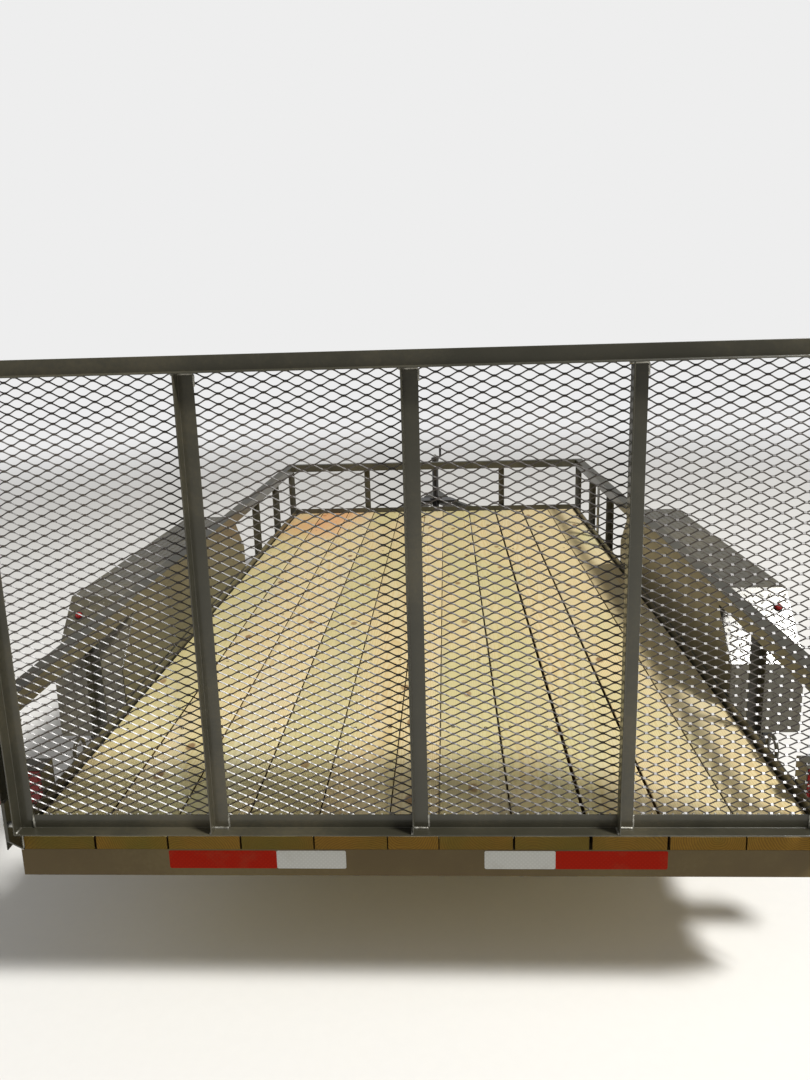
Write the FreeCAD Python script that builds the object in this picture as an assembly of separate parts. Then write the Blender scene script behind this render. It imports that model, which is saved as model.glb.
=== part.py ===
import FreeCAD, Part
import math
import os
from FreeCAD import Vector

# Tandem-axle utility trailer with a ramp gate. Sizes are in millimetres.
# While modelling, X is to the right, Y forward from the bed's rear face, and Z up from the ground.

# Bed and side members
bed_length = 4267.2
bed_width = 2032.0
deck_top = 490.0
bay_pitch = 609.6
member_tall = 76.2
member_flat = 50.8
member_wall = 4.8
cross_leg = 50.8

# Deck boards: full ones, and one ripped to fill what is left
board_thickness = 38.1
board_width = 184.0
board_edge_gap = 6.0
seam_gaps = (6.0, 5.0, 5.0, 4.0, 3.0, 3.0, 6.0, 9.0, 8.0, 4.0)

# Rails and posts
rail_height = 358.0
rail_leg = 50.8
rail_wall = 4.8
post_leg = 38.1
post_wall = 3.2
front_post_x = 508.0
carrier_post_y = 3330.0
carrier_post_width = 50.8

# Fenders
fender_length = 1829.0
fender_slope_run = 200.0
fender_slope_drop = 205.0
fender_skirt_drop = 95.0
fender_width = 241.0
fender_wall = 3.2
fender_lip = 40.0

# Lights
light_width = 200.0
light_height = 105.0
light_depth = 70.0
light_wall = 3.2
light_y = 150.0
lens_fit = 0.5
marker_radius = 12.0
marker_height = 14.0
marker_base = 3.0
marker_edge = 44.0
marker_below_bend = 56.0

# Wheels
wheel_sides = 24
tyre_radius = 344.0
tyre_width = 203.0
tyre_belly_radius = 268.0
tyre_shoulder_drop = 22.0
tyre_shoulder_width = 22.0
bead_radius = 190.5
rim_flange_radius = 208.0
rim_width = 152.0
rim_flange_depth = 14.0
rim_wall = 4.0
disc_wall = 5.0
dish_foot_radius = 80.0
dish_crown_radius = 122.0
dish_crown = 24.0
dish_edge = 8.0
window_count = 8
window_circle = 152.0
window_radius = 20.0
window_half_angle = 5.5
hub_sides = 12
hub_radius = 38.0
hub_flange_radius = 66.0
hub_flange_wall = 12.0
hub_length = 75.0
cap_radius = 30.0
cap_length = 48.0
wheel_side_gap = 18.5
axle_group_y = 1690.0
axle_spacing = 864.0

# Axles and springs
tube_sides = 16
axle_radius = 30.15
spindle_radius = 17.4
spindle_reach = 15.0
spindle_fit = 0.1
spindle_end_gap = 5.0
hub_back_gap = 8.0
seat_length = 88.0
seat_fit = 0.2
spring_clearance = 0.5
spring_span = 641.4
leaf_width = 44.5
leaf_wall = 7.0
leaf_shares = (1.0, 0.8, 0.58, 0.36)
seat_thickness = 10.0
hanger_drop = 75.0
hanger_wall = 5.0
hanger_gap = 0.5
hanger_top_width = 70.0
hanger_eye_wall = 3.0
eye_radius = 15.0
eye_bolt_radius = 7.2
bolt_fit = 0.3
bolt_sides = 6
eye_sides = 8
u_bolt_radius = 6.35
u_bolt_side_gap = 1.0
tie_plate_length = 92.0
tie_plate_wall = 8.0
tie_plate_margin = 2.0
equalizer_reach = 80.0
equalizer_drop = 42.0
equalizer_rise = 13.0
equalizer_swell = 7.0
equalizer_width = 40.0
link_half_width = 13.0

# Tongue
tongue_half_angle = 25.0
tongue_half_spread = 459.0
channel_height = 76.2
channel_flange = 36.0
channel_wall = 5.0
beam_middle_gap = 1.25
tongue_end_trim = 46.0
ball_radius = 25.7
ball_ahead = 89.0
socket_wall = 9.0
socket_depth = 42.0
coupler_wall = 5.0
coupler_length = 250.0
coupler_side_share = 0.8
dome_rise = 14.0
lever_behind_ball = 62.0
lever_length = 75.0
lever_half_width = 13.0
lever_tail_height = 18.0
lever_crown = (10.0, 34.0)
lever_nose = (12.0, 22.0)

# Jack
jack_ahead = 700.0
jack_radius = 25.4
jack_wall = 3.2
jack_leg_radius = 21.4
jack_leg_wall = 3.0
jack_top = 765.0
jack_bottom = 330.0
jack_overlap = 150.0
foot_radius = 62.0
foot_wall = 8.0
jack_plate_wall = 8.0
jack_plate_length = 150.0
jack_cap_height = 30.0
jack_cap_margin = 5.0
jack_cap_wall = 6.0
jack_flange_margin = 22.0
crank_turn = 21.0
crank_arm = 120.0
crank_arm_radius = 5.4
crank_grip = 100.0
crank_radius = 9.0

# Gate
gate_inset = 25.5
gate_height = 1152.0
gate_above_deck = 47.0
gate_behind = 37.0
gate_leg = 38.1
gate_wall = 3.2
gate_bays = 4
mesh_wall = 3.4
mesh_long = 406.4
mesh_short = 190.0
mesh_strand = 11.0
mesh_margin = 4.0
pin_radius = 8.0
pin_fit = 0.1
pin_set = 1.0
pin_proud = 6.0
pin_above_gate = 15.0
ear_wall = 8.0
ear_margin = 13.0
ear_rise = 65.0
ear_taper = 15.0
ear_cut = 60.0
keeper_gap = 9.0
keeper_wall = 8.0
keeper_length = 40.0
keeper_half_height = 20.0
keeper_behind_pin = 12.0
keeper_before_pin = 5.0
latch_above_deck = 330.0
latch_radius = 7.0
latch_slot = 22.0

# Tie loops
loop_rod = 6.0
loop_bends = 6
loop_length = 70.0
loop_height = 108.0
loop_foot = 8.0
loop_y = 400.0

# Places worked out from the sizes above
inner_x = bed_width / 2
outer_x = inner_x + member_wall
board_bottom = deck_top - board_thickness
frame_bottom = board_bottom - member_wall
frame_top = frame_bottom + member_tall
rail_top = deck_top + rail_height
rail_bottom = rail_top - rail_leg
rail_under = rail_top - rail_wall
fender_x = outer_x + fender_wall
flat_edge = inner_x - member_flat
spring_x = flat_edge + spring_clearance + hanger_wall + hanger_gap + leaf_width / 2
wheel_x = fender_x + wheel_side_gap + tyre_width / 2
axle_z = tyre_radius
spring_top = axle_z - axle_radius - seat_thickness
eye_z = frame_bottom - hanger_drop
pack_bottom = spring_top - len(leaf_shares) * leaf_wall
axle_ys = {"front": axle_group_y + axle_spacing / 2, "rear": axle_group_y - axle_spacing / 2}
sides = {"left": -1, "right": 1}
tangent = math.tan(math.radians(tongue_half_angle))
apex_y = bed_length + tongue_half_spread / tangent
ball_y = apex_y + ball_ahead
nose_y = ball_y + ball_radius + socket_wall
jack_y = bed_length + jack_ahead
gate_width = bed_width - 2 * gate_inset
gate_bottom = deck_top + gate_above_deck
gate_top = gate_bottom + gate_height
mesh_front = -gate_behind
mesh_back = mesh_front - mesh_wall
web_back = mesh_back - gate_wall
gate_rear = mesh_back - gate_leg
pin_y = mesh_back - pin_radius - pin_set
pin_z = gate_bottom + pin_above_gate
latch_y = mesh_back - gate_leg / 2
rear_end = min(gate_rear, pin_y - ear_margin)
middle_y = (rear_end + nose_y) / 2


def box(x0, x1, y0, y1, z0, z1):
    return Part.makeBox(x1 - x0, y1 - y0, z1 - z0, Vector(x0, y0, z0))


def face(points):
    return Part.Face(Part.makePolygon([Vector(*p) for p in list(points) + [points[0]]]))


def along_x(yz, x0, x1):
    return face([(x0, y, z) for y, z in yz]).extrude(Vector(x1 - x0, 0, 0))


def along_y(xz, y0, y1):
    return face([(x, y0, z) for x, z in xz]).extrude(Vector(0, y1 - y0, 0))


def along_z(xy, z0, z1):
    return face([(x, y, z0) for x, y in xy]).extrude(Vector(0, 0, z1 - z0))


def angle(corner, legs, wall):
    # L section: the corner's place, the two signed leg lengths and the wall
    a, b = corner
    leg_a, leg_b = legs
    wall_a = math.copysign(wall, leg_a)
    wall_b = math.copysign(wall, leg_b)
    return [(a, b), (a + leg_a, b), (a + leg_a, b + wall_b), (a + wall_a, b + wall_b),
            (a + wall_a, b + leg_b), (a, b + leg_b)]


def rod(start, end, radius):
    start, end = Vector(*start), Vector(*end)
    return Part.makeCylinder(radius, (end - start).Length, start, end - start)


def bar(start, end, radius, sides):
    # Regular prism between two points, for what is small or repeated
    start, end = Vector(*start), Vector(*end)
    turns = [2 * math.pi * i / sides for i in range(sides)]
    section = face([(radius * math.cos(t), radius * math.sin(t), 0) for t in turns])
    shape = section.extrude(Vector(0, 0, (end - start).Length))
    shape.Placement = FreeCAD.Placement(start, FreeCAD.Rotation(Vector(0, 0, 1), end - start))
    return shape


def skin(rings, closed):
    # Solid whose flat faces join each ring of points to the next
    following = rings[1:] + rings[:1] if closed else rings[1:]
    faces = [] if closed else [face(rings[0]), face(rings[-1])]
    for a, b in zip(rings, following):
        for i in range(len(a)):
            j = (i + 1) % len(a)
            faces.append(face([a[i], a[j], b[j], b[i]]))
    shell = Part.Shell(faces)
    shell.sewShape()
    solid = Part.Solid(shell)
    if solid.Volume < 0:
        solid.reverse()
    return solid


def wheel_ring(outline):
    # (radius, reach) outline carried round the X axis, a corner of its sides at the bottom
    turns = [2 * math.pi * i / wheel_sides for i in range(wheel_sides)]
    return skin([[(reach, r * math.sin(t), -r * math.cos(t)) for r, reach in outline] for t in turns], True)


def half_round(y, z, radius, bends):
    # Corners of a chain of runs that hugs the upper half of a circle
    reach = radius / math.cos(math.pi / 2 / bends)
    turns = [math.pi * (i + 0.5) / bends for i in range(bends)]
    return [(y - reach * math.cos(t), z + reach * math.sin(t)) for t in turns]


def bent_rod(x, path, radius, sides):
    # Rod along (y, z) points in one plane, mitred at each bend
    rings = []
    for i, (y, z) in enumerate(path):
        into = Vector(0, y - path[i - 1][0], z - path[i - 1][1]) if i else None
        out = Vector(0, path[i + 1][0] - y, path[i + 1][1] - z) if i + 1 < len(path) else into
        into = into or out
        into = Vector(into).normalize()
        half = (into + Vector(out).normalize()).normalize()
        across = Vector(1, 0, 0).cross(half) * (radius / half.dot(into))
        turns = [math.pi / 2 + 2 * math.pi * k / sides for k in range(sides)]
        rings.append([tuple(Vector(x + radius * math.cos(t), y, z) + across * math.sin(t)) for t in turns])
    return skin(rings, False)


def fused(shapes):
    return shapes[0].fuse(shapes[1:]).removeSplitter()


def mirrored(shape):
    return shape.mirror(Vector(0, 0, 0), Vector(1, 0, 0))


def inset(points, wall):
    # An open chain of points moved to its right-hand side by the wall
    lines = []
    for (a, b), (c, d) in zip(points, points[1:]):
        length = math.hypot(c - a, d - b)
        shift = ((d - b) / length * wall, -(c - a) / length * wall)
        lines.append(((a + shift[0], b + shift[1]), (c - a, d - b)))
    moved = [lines[0][0]]
    for ((a, b), (p, q)), ((c, d), (r, s)) in zip(lines, lines[1:]):
        t = ((c - a) * s - (d - b) * r) / (p * s - q * r)
        moved.append((a + t * p, b + t * q))
    (a, b), (p, q) = lines[-1]
    moved.append((a + p, b + q))
    return moved


def strip(points, wall):
    return list(points) + inset(points, wall)[::-1]


def side_member():
    section = angle((outer_x, frame_bottom), (flat_edge - outer_x, member_tall), member_wall)
    return along_y(section, member_wall, bed_length - member_wall)


def front_member():
    tall = box(-outer_x, outer_x, bed_length - member_wall, bed_length, frame_bottom, frame_top)
    flat = box(-flat_edge, flat_edge, bed_length - member_flat, bed_length - member_wall,
               frame_bottom, board_bottom)
    return fused([tall, flat])


def rear_member():
    # Tall flat face across the full width, its flat leg coped round the side members
    section = angle((0, board_bottom), (member_flat, -member_tall), member_wall)
    cope = box(flat_edge, outer_x, member_wall, bed_length, frame_bottom, frame_top)
    return along_x(section, -outer_x, outer_x).cut([cope, mirrored(cope)])


def crossmembers():
    count = round(bed_length / bay_pitch) - 1
    places = [(i + 1) * bay_pitch for i in range(count)]
    return [along_x(angle((y, board_bottom), (cross_leg, -cross_leg), member_wall), -flat_edge, flat_edge)
            for y in places]


def deck_boards():
    mean_gap = sum(seam_gaps) / len(seam_gaps)
    full = int((bed_width - 2 * board_edge_gap + mean_gap) // (board_width + mean_gap))
    gaps = [seam_gaps[i % len(seam_gaps)] for i in range(full)]
    ripped = bed_width - 2 * board_edge_gap - sum(gaps) - full * board_width
    widths = [board_width] * (full // 2) + [ripped] + [board_width] * (full - full // 2)
    boards = []
    x = -inner_x + board_edge_gap
    for width, gap in zip(widths, gaps + [0.0]):
        boards.append(box(x, x + width, 0, bed_length - member_wall, board_bottom, deck_top))
        x += width + gap
    return boards


def side_rail():
    tall = box(outer_x, outer_x + rail_wall, 0, bed_length + rail_wall, rail_bottom, rail_top)
    flat = box(outer_x, outer_x + rail_leg, 0, bed_length + rail_leg, rail_under, rail_top)
    return fused([tall, flat])


def front_rail():
    section = angle((bed_length, rail_top), (rail_leg, -rail_leg), rail_wall)
    return along_x(section, -outer_x, outer_x)


def side_post(y):
    section = angle((outer_x + post_leg, y), (-post_leg, -post_leg), post_wall)
    return along_z(section, frame_bottom, rail_under).cut(side_rail())


def post_rows():
    # Post places along a side: the corner, then those clear of the fender, then the front
    count = round(bed_length / bay_pitch)
    low = axle_group_y - fender_length / 2
    high = axle_group_y + fender_length / 2
    places = [i * bay_pitch for i in range(1, count)]
    return [post_leg] + [y for y in places if y < low or y - post_leg > high] + [bed_length]


def side_posts():
    return [side_post(y) for y in post_rows()]


def carrier_post():
    # Flat upright between two posts on the right side
    half = carrier_post_width / 2
    bar = box(outer_x, outer_x + 2 * post_wall, carrier_post_y - half, carrier_post_y + half,
              frame_bottom, rail_under)
    return bar.cut(side_rail())


def front_posts():
    section = angle((front_post_x, bed_length + post_leg), (-post_leg, -post_leg), post_wall)
    post = along_z(section, frame_bottom, rail_under).cut(front_rail())
    return [post, mirrored(post)]


def fender_outline():
    rear = axle_group_y - fender_length / 2
    front = axle_group_y + fender_length / 2
    low = deck_top - fender_skirt_drop
    bend = rail_under - fender_slope_drop
    return [(rear, low), (rear, bend), (rear + fender_slope_run, rail_under),
            (front - fender_slope_run, rail_under), (front, bend), (front, low)]


def fender():
    outline = fender_outline()
    edge = outer_x + fender_width
    cover = along_x(strip(outline, fender_wall), fender_x, edge)
    lip = along_x(strip(outline, fender_lip), edge - fender_wall, edge)
    return fused([cover, lip]).cut(side_rail())


def fender_back():
    plate = along_x(fender_outline(), outer_x, fender_x)
    room = box(outer_x - 1, fender_x + 1, 0, bed_length, rail_bottom, rail_top)
    low = box(outer_x - 1, fender_x + 1, 0, bed_length, 0, frame_bottom)
    return plate.cut([room, low])


def marker_lights():
    # One round light on each slope, square to it
    slope = math.atan2(fender_slope_drop, fender_slope_run)
    outline = fender_outline()
    run = marker_below_bend / math.tan(slope)
    x = outer_x + fender_width - marker_edge
    lights = []
    for (y, z), facing in ((outline[2], -1), (outline[3], 1)):
        place = Vector(x, y + facing * run, z - marker_below_bend)
        normal = Vector(0, facing * math.sin(slope), math.cos(slope))
        base = bar(place, place + normal * marker_base, marker_radius + marker_base, eye_sides)
        lens = bar(place, place + normal * marker_height, marker_radius, eye_sides)
        lights.append(fused([base, lens]))
    return lights + [mirrored(light) for light in lights]


def light_box():
    edge = outer_x + light_width
    front = light_y + light_depth
    top = deck_top + light_height
    shell = box(outer_x, edge, light_y, front, deck_top, top)
    room = box(outer_x + light_wall, edge - light_wall, light_y - 1, front - light_wall,
               deck_top + light_wall, top - light_wall)
    foot = box(outer_x, outer_x + light_wall, light_y, front, frame_bottom, deck_top)
    return fused([shell.cut(room), foot])


def light_lens():
    gap = light_wall + lens_fit
    return box(outer_x + gap, outer_x + light_width - gap, light_y, light_y + light_depth - gap,
               deck_top + gap, deck_top + light_height - gap)


def tyre():
    half = tyre_width / 2
    bead = rim_width / 2 - rim_flange_depth - bolt_fit
    low = bead_radius + bolt_fit
    flange = rim_flange_radius + bolt_fit
    lip = rim_width / 2 - bolt_fit
    profile = [(low, bead), (flange, lip), (tyre_belly_radius, half),
               (tyre_radius - tyre_shoulder_drop, half - tyre_shoulder_width / 2),
               (tyre_radius, half - tyre_shoulder_width)]
    return wheel_ring(profile + [(radius, -reach) for radius, reach in profile[::-1]])


def rim():
    # Barrel and dish in one outline, then the hub with its blind bore and the windows
    half = rim_width / 2
    seat = half - rim_flange_depth
    low = bead_radius - rim_wall
    barrel = [(rim_flange_radius, half), (bead_radius, seat), (bead_radius, -seat),
              (rim_flange_radius, -half), (low, -seat)]
    dish = [(low, dish_edge), (dish_crown_radius, dish_crown), (dish_foot_radius, 0)]
    back = [(radius, reach - disc_wall) for radius, reach in dish]
    outline = barrel + back + [(spindle_radius, -disc_wall), (spindle_radius, 0)] + dish[::-1] + [(low, seat)]
    near, far = window_circle - window_radius, window_circle + window_radius
    spread = math.radians(window_half_angle)
    windows = []
    for i in range(window_count):
        turn = 2 * math.pi * (i + 0.5) / window_count
        corners = [(near, turn - spread), (near, turn + spread), (far, turn + spread), (far, turn - spread)]
        windows.append(along_x([(r * math.sin(t), r * math.cos(t)) for r, t in corners], -half, half))
    hub = [bar((-hub_length, 0, 0), (0, 0, 0), hub_radius, hub_sides),
           bar((-disc_wall - hub_flange_wall, 0, 0), (0, 0, 0), hub_flange_radius, hub_sides),
           bar((-disc_wall, 0, 0), (cap_length, 0, 0), cap_radius, hub_sides)]
    bore = rod((-hub_length - 1, 0, 0), (spindle_reach + spindle_end_gap, 0, 0), spindle_radius + spindle_fit)
    return fused([wheel_ring(outline).cut(windows)] + hub).cut(bore)


def axle(y):
    tube_end = wheel_x - hub_length - hub_back_gap
    tube = bar((-tube_end, y, axle_z), (tube_end, y, axle_z), axle_radius, tube_sides)
    spindle = rod((-wheel_x - spindle_reach, y, axle_z), (wheel_x + spindle_reach, y, axle_z), spindle_radius)
    half = seat_length / 2
    seat = box(spring_x - leaf_width / 2, spring_x + leaf_width / 2, y - half, y + half,
               spring_top - leaf_wall, axle_z)
    centre_z, radius = spring_arc()
    seat = seat.common(rod((0, y, centre_z), (2 * spring_x, y, centre_z), radius - seat_fit))
    return fused([tube, spindle, seat, mirrored(seat)])


def spring_arc():
    # Centre height and radius of the main leaf's upper face, which passes under both eyes
    rise = eye_z - spring_top
    back = leaf_wall - eye_radius
    radius = ((spring_span / 2) ** 2 + rise ** 2 - back ** 2) / (2 * (rise + back))
    return spring_top + radius, radius


def leaf(y, centre_z, radius, half_angle):
    corners = [(radius, -half_angle), (radius, 0), (radius, half_angle), (radius + leaf_wall, half_angle),
               (radius + leaf_wall, 0), (radius + leaf_wall, -half_angle)]
    x = spring_x - leaf_width / 2
    a, b, c, d, e, f = [Vector(x, y + r * math.sin(t), centre_z - r * math.cos(t)) for r, t in corners]
    edges = [Part.Arc(a, b, c).toShape(), Part.makeLine(c, d), Part.Arc(d, e, f).toShape(),
             Part.makeLine(f, a)]
    return Part.Face(Part.Wire(edges)).extrude(Vector(leaf_width, 0, 0))


def leaf_spring(y):
    centre_z, radius = spring_arc()
    x0, x1 = spring_x - leaf_width / 2, spring_x + leaf_width / 2
    eye_angle = math.atan2(spring_span / 2, centre_z - eye_z)
    shapes = [leaf(y, centre_z, radius + i * leaf_wall, eye_angle * share)
              for i, share in enumerate(leaf_shares)]
    ends = (y - spring_span / 2, y + spring_span / 2)
    shapes += [bar((x0, end, eye_z), (x1, end, eye_z), eye_radius, eye_sides) for end in ends]
    bore = eye_bolt_radius + bolt_fit
    bores = [bar((x0 - 1, end, eye_z), (x1 + 1, end, eye_z), bore, bolt_sides) for end in ends]
    return fused(shapes).cut(bores)


def spring_bolt(place):
    # Bolt from plate to plate of a hanger or a pair of links
    side = leaf_width / 2 + hanger_gap + hanger_wall
    return bar((spring_x - side, *place), (spring_x + side, *place), eye_bolt_radius, bolt_sides)


def hanger(y, bolt_z):
    inner = leaf_width / 2 + hanger_gap
    outer = inner + hanger_wall
    half_top = hanger_top_width / 2
    foot = eye_radius + hanger_eye_wall
    outline = [(y - half_top, frame_bottom), (y + half_top, frame_bottom), (y + foot, bolt_z),
               (y + foot / 2, bolt_z - foot), (y - foot / 2, bolt_z - foot), (y - foot, bolt_z)]
    plates = [along_x(outline, x0, x0 + hanger_wall) for x0 in (spring_x - outer, spring_x + inner)]
    top = box(spring_x - outer, spring_x + outer, y - half_top, y + half_top,
              frame_bottom - hanger_wall, frame_bottom)
    return fused(plates + [top, spring_bolt((y, bolt_z))])


def hangers():
    reach = axle_spacing / 2 + spring_span / 2
    pivot_z = frame_bottom - equalizer_drop
    places = [(axle_group_y - reach, eye_z), (axle_group_y, pivot_z), (axle_group_y + reach, eye_z)]
    right = [hanger(y, bolt_z) for y, bolt_z in places]
    return right + [mirrored(shape) for shape in right]


def equalizer():
    pivot_z = frame_bottom - equalizer_drop
    end_z = pivot_z + equalizer_rise
    x0, x1 = spring_x - equalizer_width / 2, spring_x + equalizer_width / 2
    half_end, half_middle = link_half_width, link_half_width + equalizer_swell
    reach = equalizer_reach
    outline = [(-reach, end_z - half_end), (0, pivot_z - half_middle), (reach, end_z - half_end),
               (reach + half_end, end_z), (reach, end_z + half_end), (0, pivot_z + half_middle),
               (-reach, end_z + half_end), (-reach - half_end, end_z)]
    shapes = [along_x([(axle_group_y + y, z) for y, z in outline], x0, x1)]
    eye_offset = axle_spacing / 2 - spring_span / 2
    for side in (-1, 1):
        top = (axle_group_y + side * reach, end_z)
        low = (axle_group_y + side * eye_offset, eye_z)
        shapes += [spring_bolt(top), spring_bolt(low)] + links(top, low)
    pivot = (axle_group_y, pivot_z)
    bore = bar((x0 - 1, *pivot), (x1 + 1, *pivot), eye_bolt_radius + bolt_fit, bolt_sides)
    return fused(shapes).cut(bore)


def links(top, low):
    # Two flat shackle links, pointed past their bolts
    run = Vector(0, top[0] - low[0], top[1] - low[1]).normalize() * link_half_width
    across = Vector(1, 0, 0).cross(run)
    high_end, low_end = Vector(0, *top), Vector(0, *low)
    outline = [low_end + across, low_end - run, low_end - across,
               high_end - across, high_end + run, high_end + across]
    inner = leaf_width / 2 + hanger_gap
    return [along_x([(p.y, p.z) for p in outline], x0, x0 + hanger_wall)
            for x0 in (spring_x - inner - hanger_wall, spring_x + inner)]


def u_bolt_set(y):
    # Two bolts over the axle tube, with the tie plate below the leaves
    reach = axle_radius + u_bolt_radius + bolt_fit
    middle = pack_bottom - tie_plate_wall / 2
    half = tie_plate_length / 2
    width = leaf_width / 2 + u_bolt_radius + u_bolt_side_gap
    edge = width + u_bolt_radius + tie_plate_margin
    low = pack_bottom - tie_plate_wall
    shapes = [box(spring_x - edge, spring_x + edge, y - half, y + half, low, pack_bottom)]
    path = [(y - reach, middle)] + half_round(y, axle_z, reach, 3) + [(y + reach, middle)]
    shapes += [bent_rod(x, path, u_bolt_radius, bolt_sides) for x in (spring_x - width, spring_x + width)]
    return fused(shapes)


def tongue_beam():
    # Channel laid from the bed's front under the frame to the point where both beams meet
    turn = 90 + tongue_half_angle
    start_y = bed_length - bay_pitch + member_wall
    reach = (apex_y - start_y) / math.cos(math.radians(tongue_half_angle)) + 2 * channel_height
    low = frame_bottom - channel_height
    web = box(0, reach, -channel_wall, 0, low, frame_bottom)
    flanges = [box(0, reach, -channel_flange, 0, low, low + channel_wall),
               box(0, reach, -channel_flange, 0, frame_bottom - channel_wall, frame_bottom)]
    beam = fused([web] + flanges)
    beam.translate(Vector(-channel_height, channel_flange / 2, 0))
    beam.rotate(Vector(0, 0, 0), Vector(0, 0, 1), turn)
    start_x = (apex_y - start_y) * tangent
    beam.translate(Vector(start_x, start_y, 0))
    room = box(beam_middle_gap, 2 * start_x, start_y + bolt_fit, apex_y - tongue_end_trim, 0, 2 * deck_top)
    return beam.common(room)


def coupler():
    # Top plate and sides over the beams' ends, with a round nose that holds the ball socket
    back = apex_y - coupler_length + ball_ahead
    half_back = (apex_y - back) * tangent + channel_flange / 2 / math.cos(math.radians(tongue_half_angle))
    half_nose = ball_radius + socket_wall
    top = frame_bottom + coupler_wall
    outline = [(-half_back, back), (half_back, back), (half_nose, ball_y), (-half_nose, ball_y)]
    cover = along_z(outline, frame_bottom + bolt_fit, top)
    sides_low = frame_bottom - channel_height * coupler_side_share
    shapes = [cover]
    for side in (-1, 1):
        run = [(side * half_back, back), (side * half_nose, ball_y),
               (side * (half_nose + coupler_wall), ball_y), (side * (half_back + coupler_wall), back)]
        shapes.append(along_z(run, sides_low, top))
    turns = [2 * math.pi * (i + 0.5) / hub_sides for i in range(hub_sides)]
    steps = [(half_nose, sides_low), (half_nose, top), (half_nose - dome_rise, top + dome_rise)]
    nose = skin([[(r * math.sin(t), ball_y - r * math.cos(t), z) for t in turns] for r, z in steps], False)
    bore = Part.makeCylinder(ball_radius, socket_depth, Vector(0, ball_y, sides_low))
    return fused(shapes + [nose]).cut(bore)


def coupler_latch():
    low = frame_bottom + coupler_wall
    front = ball_y - lever_behind_ball
    back = front - lever_length
    outline = [(back, low), (front, low), (front + lever_nose[0], low + lever_nose[1]),
               (front - lever_crown[0], low + lever_crown[1]), (back, low + lever_tail_height)]
    return along_x(outline, -lever_half_width, lever_half_width)


def jack_plate():
    # Plate across both beams, with the jack's flange on it
    rear = jack_y - jack_plate_length / 2
    front = jack_y + jack_plate_length / 2
    grow = channel_flange / 2
    outline = [((apex_y - rear) * tangent + grow, rear), ((apex_y - front) * tangent + grow, front),
               (-(apex_y - front) * tangent - grow, front), (-(apex_y - rear) * tangent - grow, rear)]
    return along_z(outline, frame_bottom, frame_bottom + jack_plate_wall)


def jack_tube():
    def upright(low, high, radius, sides):
        return bar((0, jack_y, low), (0, jack_y, high), radius, sides)

    tube = upright(jack_bottom, jack_top, jack_radius, tube_sides)
    cap = upright(jack_top, jack_top + jack_cap_height, jack_radius + jack_cap_margin, hub_sides)
    flange_low = frame_bottom + jack_plate_wall
    flange = upright(flange_low, flange_low + jack_plate_wall, jack_radius + jack_flange_margin, hub_sides)
    bore = upright(jack_bottom - 1, jack_top - jack_cap_wall, jack_radius - jack_wall, tube_sides)
    return fused([jack_plate(), tube, cap, flange]).cut(bore)


def jack_leg():
    top = jack_bottom + jack_overlap
    tube = bar((0, jack_y, 0), (0, jack_y, top), jack_leg_radius, tube_sides)
    foot = bar((0, jack_y, 0), (0, jack_y, foot_wall), foot_radius, hub_sides)
    bore = bar((0, jack_y, foot_wall), (0, jack_y, top + 1), jack_leg_radius - jack_leg_wall, tube_sides)
    return fused([tube, foot]).cut(bore)


def jack_crank():
    low = jack_top + jack_cap_height
    turn = math.radians(crank_turn)
    end = (crank_arm * math.sin(turn), jack_y - crank_arm * math.cos(turn))
    arm_z = low + 1.5 * crank_radius
    hub = bar((0, jack_y, low), (0, jack_y, arm_z + crank_radius), crank_radius, eye_sides)
    arm = bar((0, jack_y, arm_z), (*end, arm_z), crank_arm_radius, bolt_sides)
    grip = bar((*end, arm_z - crank_radius), (*end, arm_z + crank_grip), crank_radius, eye_sides)
    return fused([hub, arm, grip])


def gate_frame():
    half = gate_width / 2
    corner = box(-half, half, gate_rear, mesh_back, gate_bottom, gate_top)
    low = along_x(angle((mesh_back, gate_bottom), (-gate_leg, gate_leg), gate_wall), -half, half)
    high = along_x(angle((mesh_back, gate_top - gate_leg), (-gate_leg, gate_leg), gate_wall), -half, half)
    side = along_z(angle((half, mesh_back), (-gate_leg, -gate_leg), gate_wall), gate_bottom, gate_top)
    return fused([low, high, side, mirrored(side)]).common(corner)


def gate_bars():
    half = gate_width / 2
    pitch = gate_width / gate_bays
    low = gate_bottom + gate_wall
    high = gate_top - gate_leg
    bars = []
    for i in range(1, gate_bays):
        x = -half + i * pitch
        bars.append(along_z(angle((x, web_back), (gate_leg, -gate_leg + gate_wall), gate_wall), low, high))
    return bars


def gate_mesh():
    # One sheet with diamond openings in staggered rows, cut short a strand's width from its edges
    half = gate_width / 2 - mesh_margin
    low, high = gate_bottom + mesh_margin, gate_top - mesh_margin
    columns = round(2 * half / mesh_long)
    rows = 2 * round((high - low) / mesh_short)
    pitch_x, pitch_z = 2 * half / columns, (high - low) / rows
    across, up = pitch_x / 2 - mesh_strand, pitch_z - mesh_strand / 2
    edge = [(-half, 0, low), (half, 0, low), (half, 0, high), (-half, 0, high)]
    room = face([(x - math.copysign(mesh_strand, x), 0, min(max(z, low + mesh_strand), high - mesh_strand))
                 for x, y, z in edge])
    wires = [face(edge).OuterWire]
    for row in range(rows + 1):
        for column in range(columns + 1):
            x, z = -half + (column + row % 2 / 2) * pitch_x, low + row * pitch_z
            diamond = face([(x - across, 0, z), (x, 0, z + up), (x + across, 0, z), (x, 0, z - up)])
            opening = diamond.common(room)
            wires += [piece.OuterWire for piece in opening.Faces]
    sheet = Part.makeFace(wires, "Part::FaceMakerBullseye").extrude(Vector(0, mesh_wall, 0))
    sheet.translate(Vector(0, mesh_back, 0))
    return sheet


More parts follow.
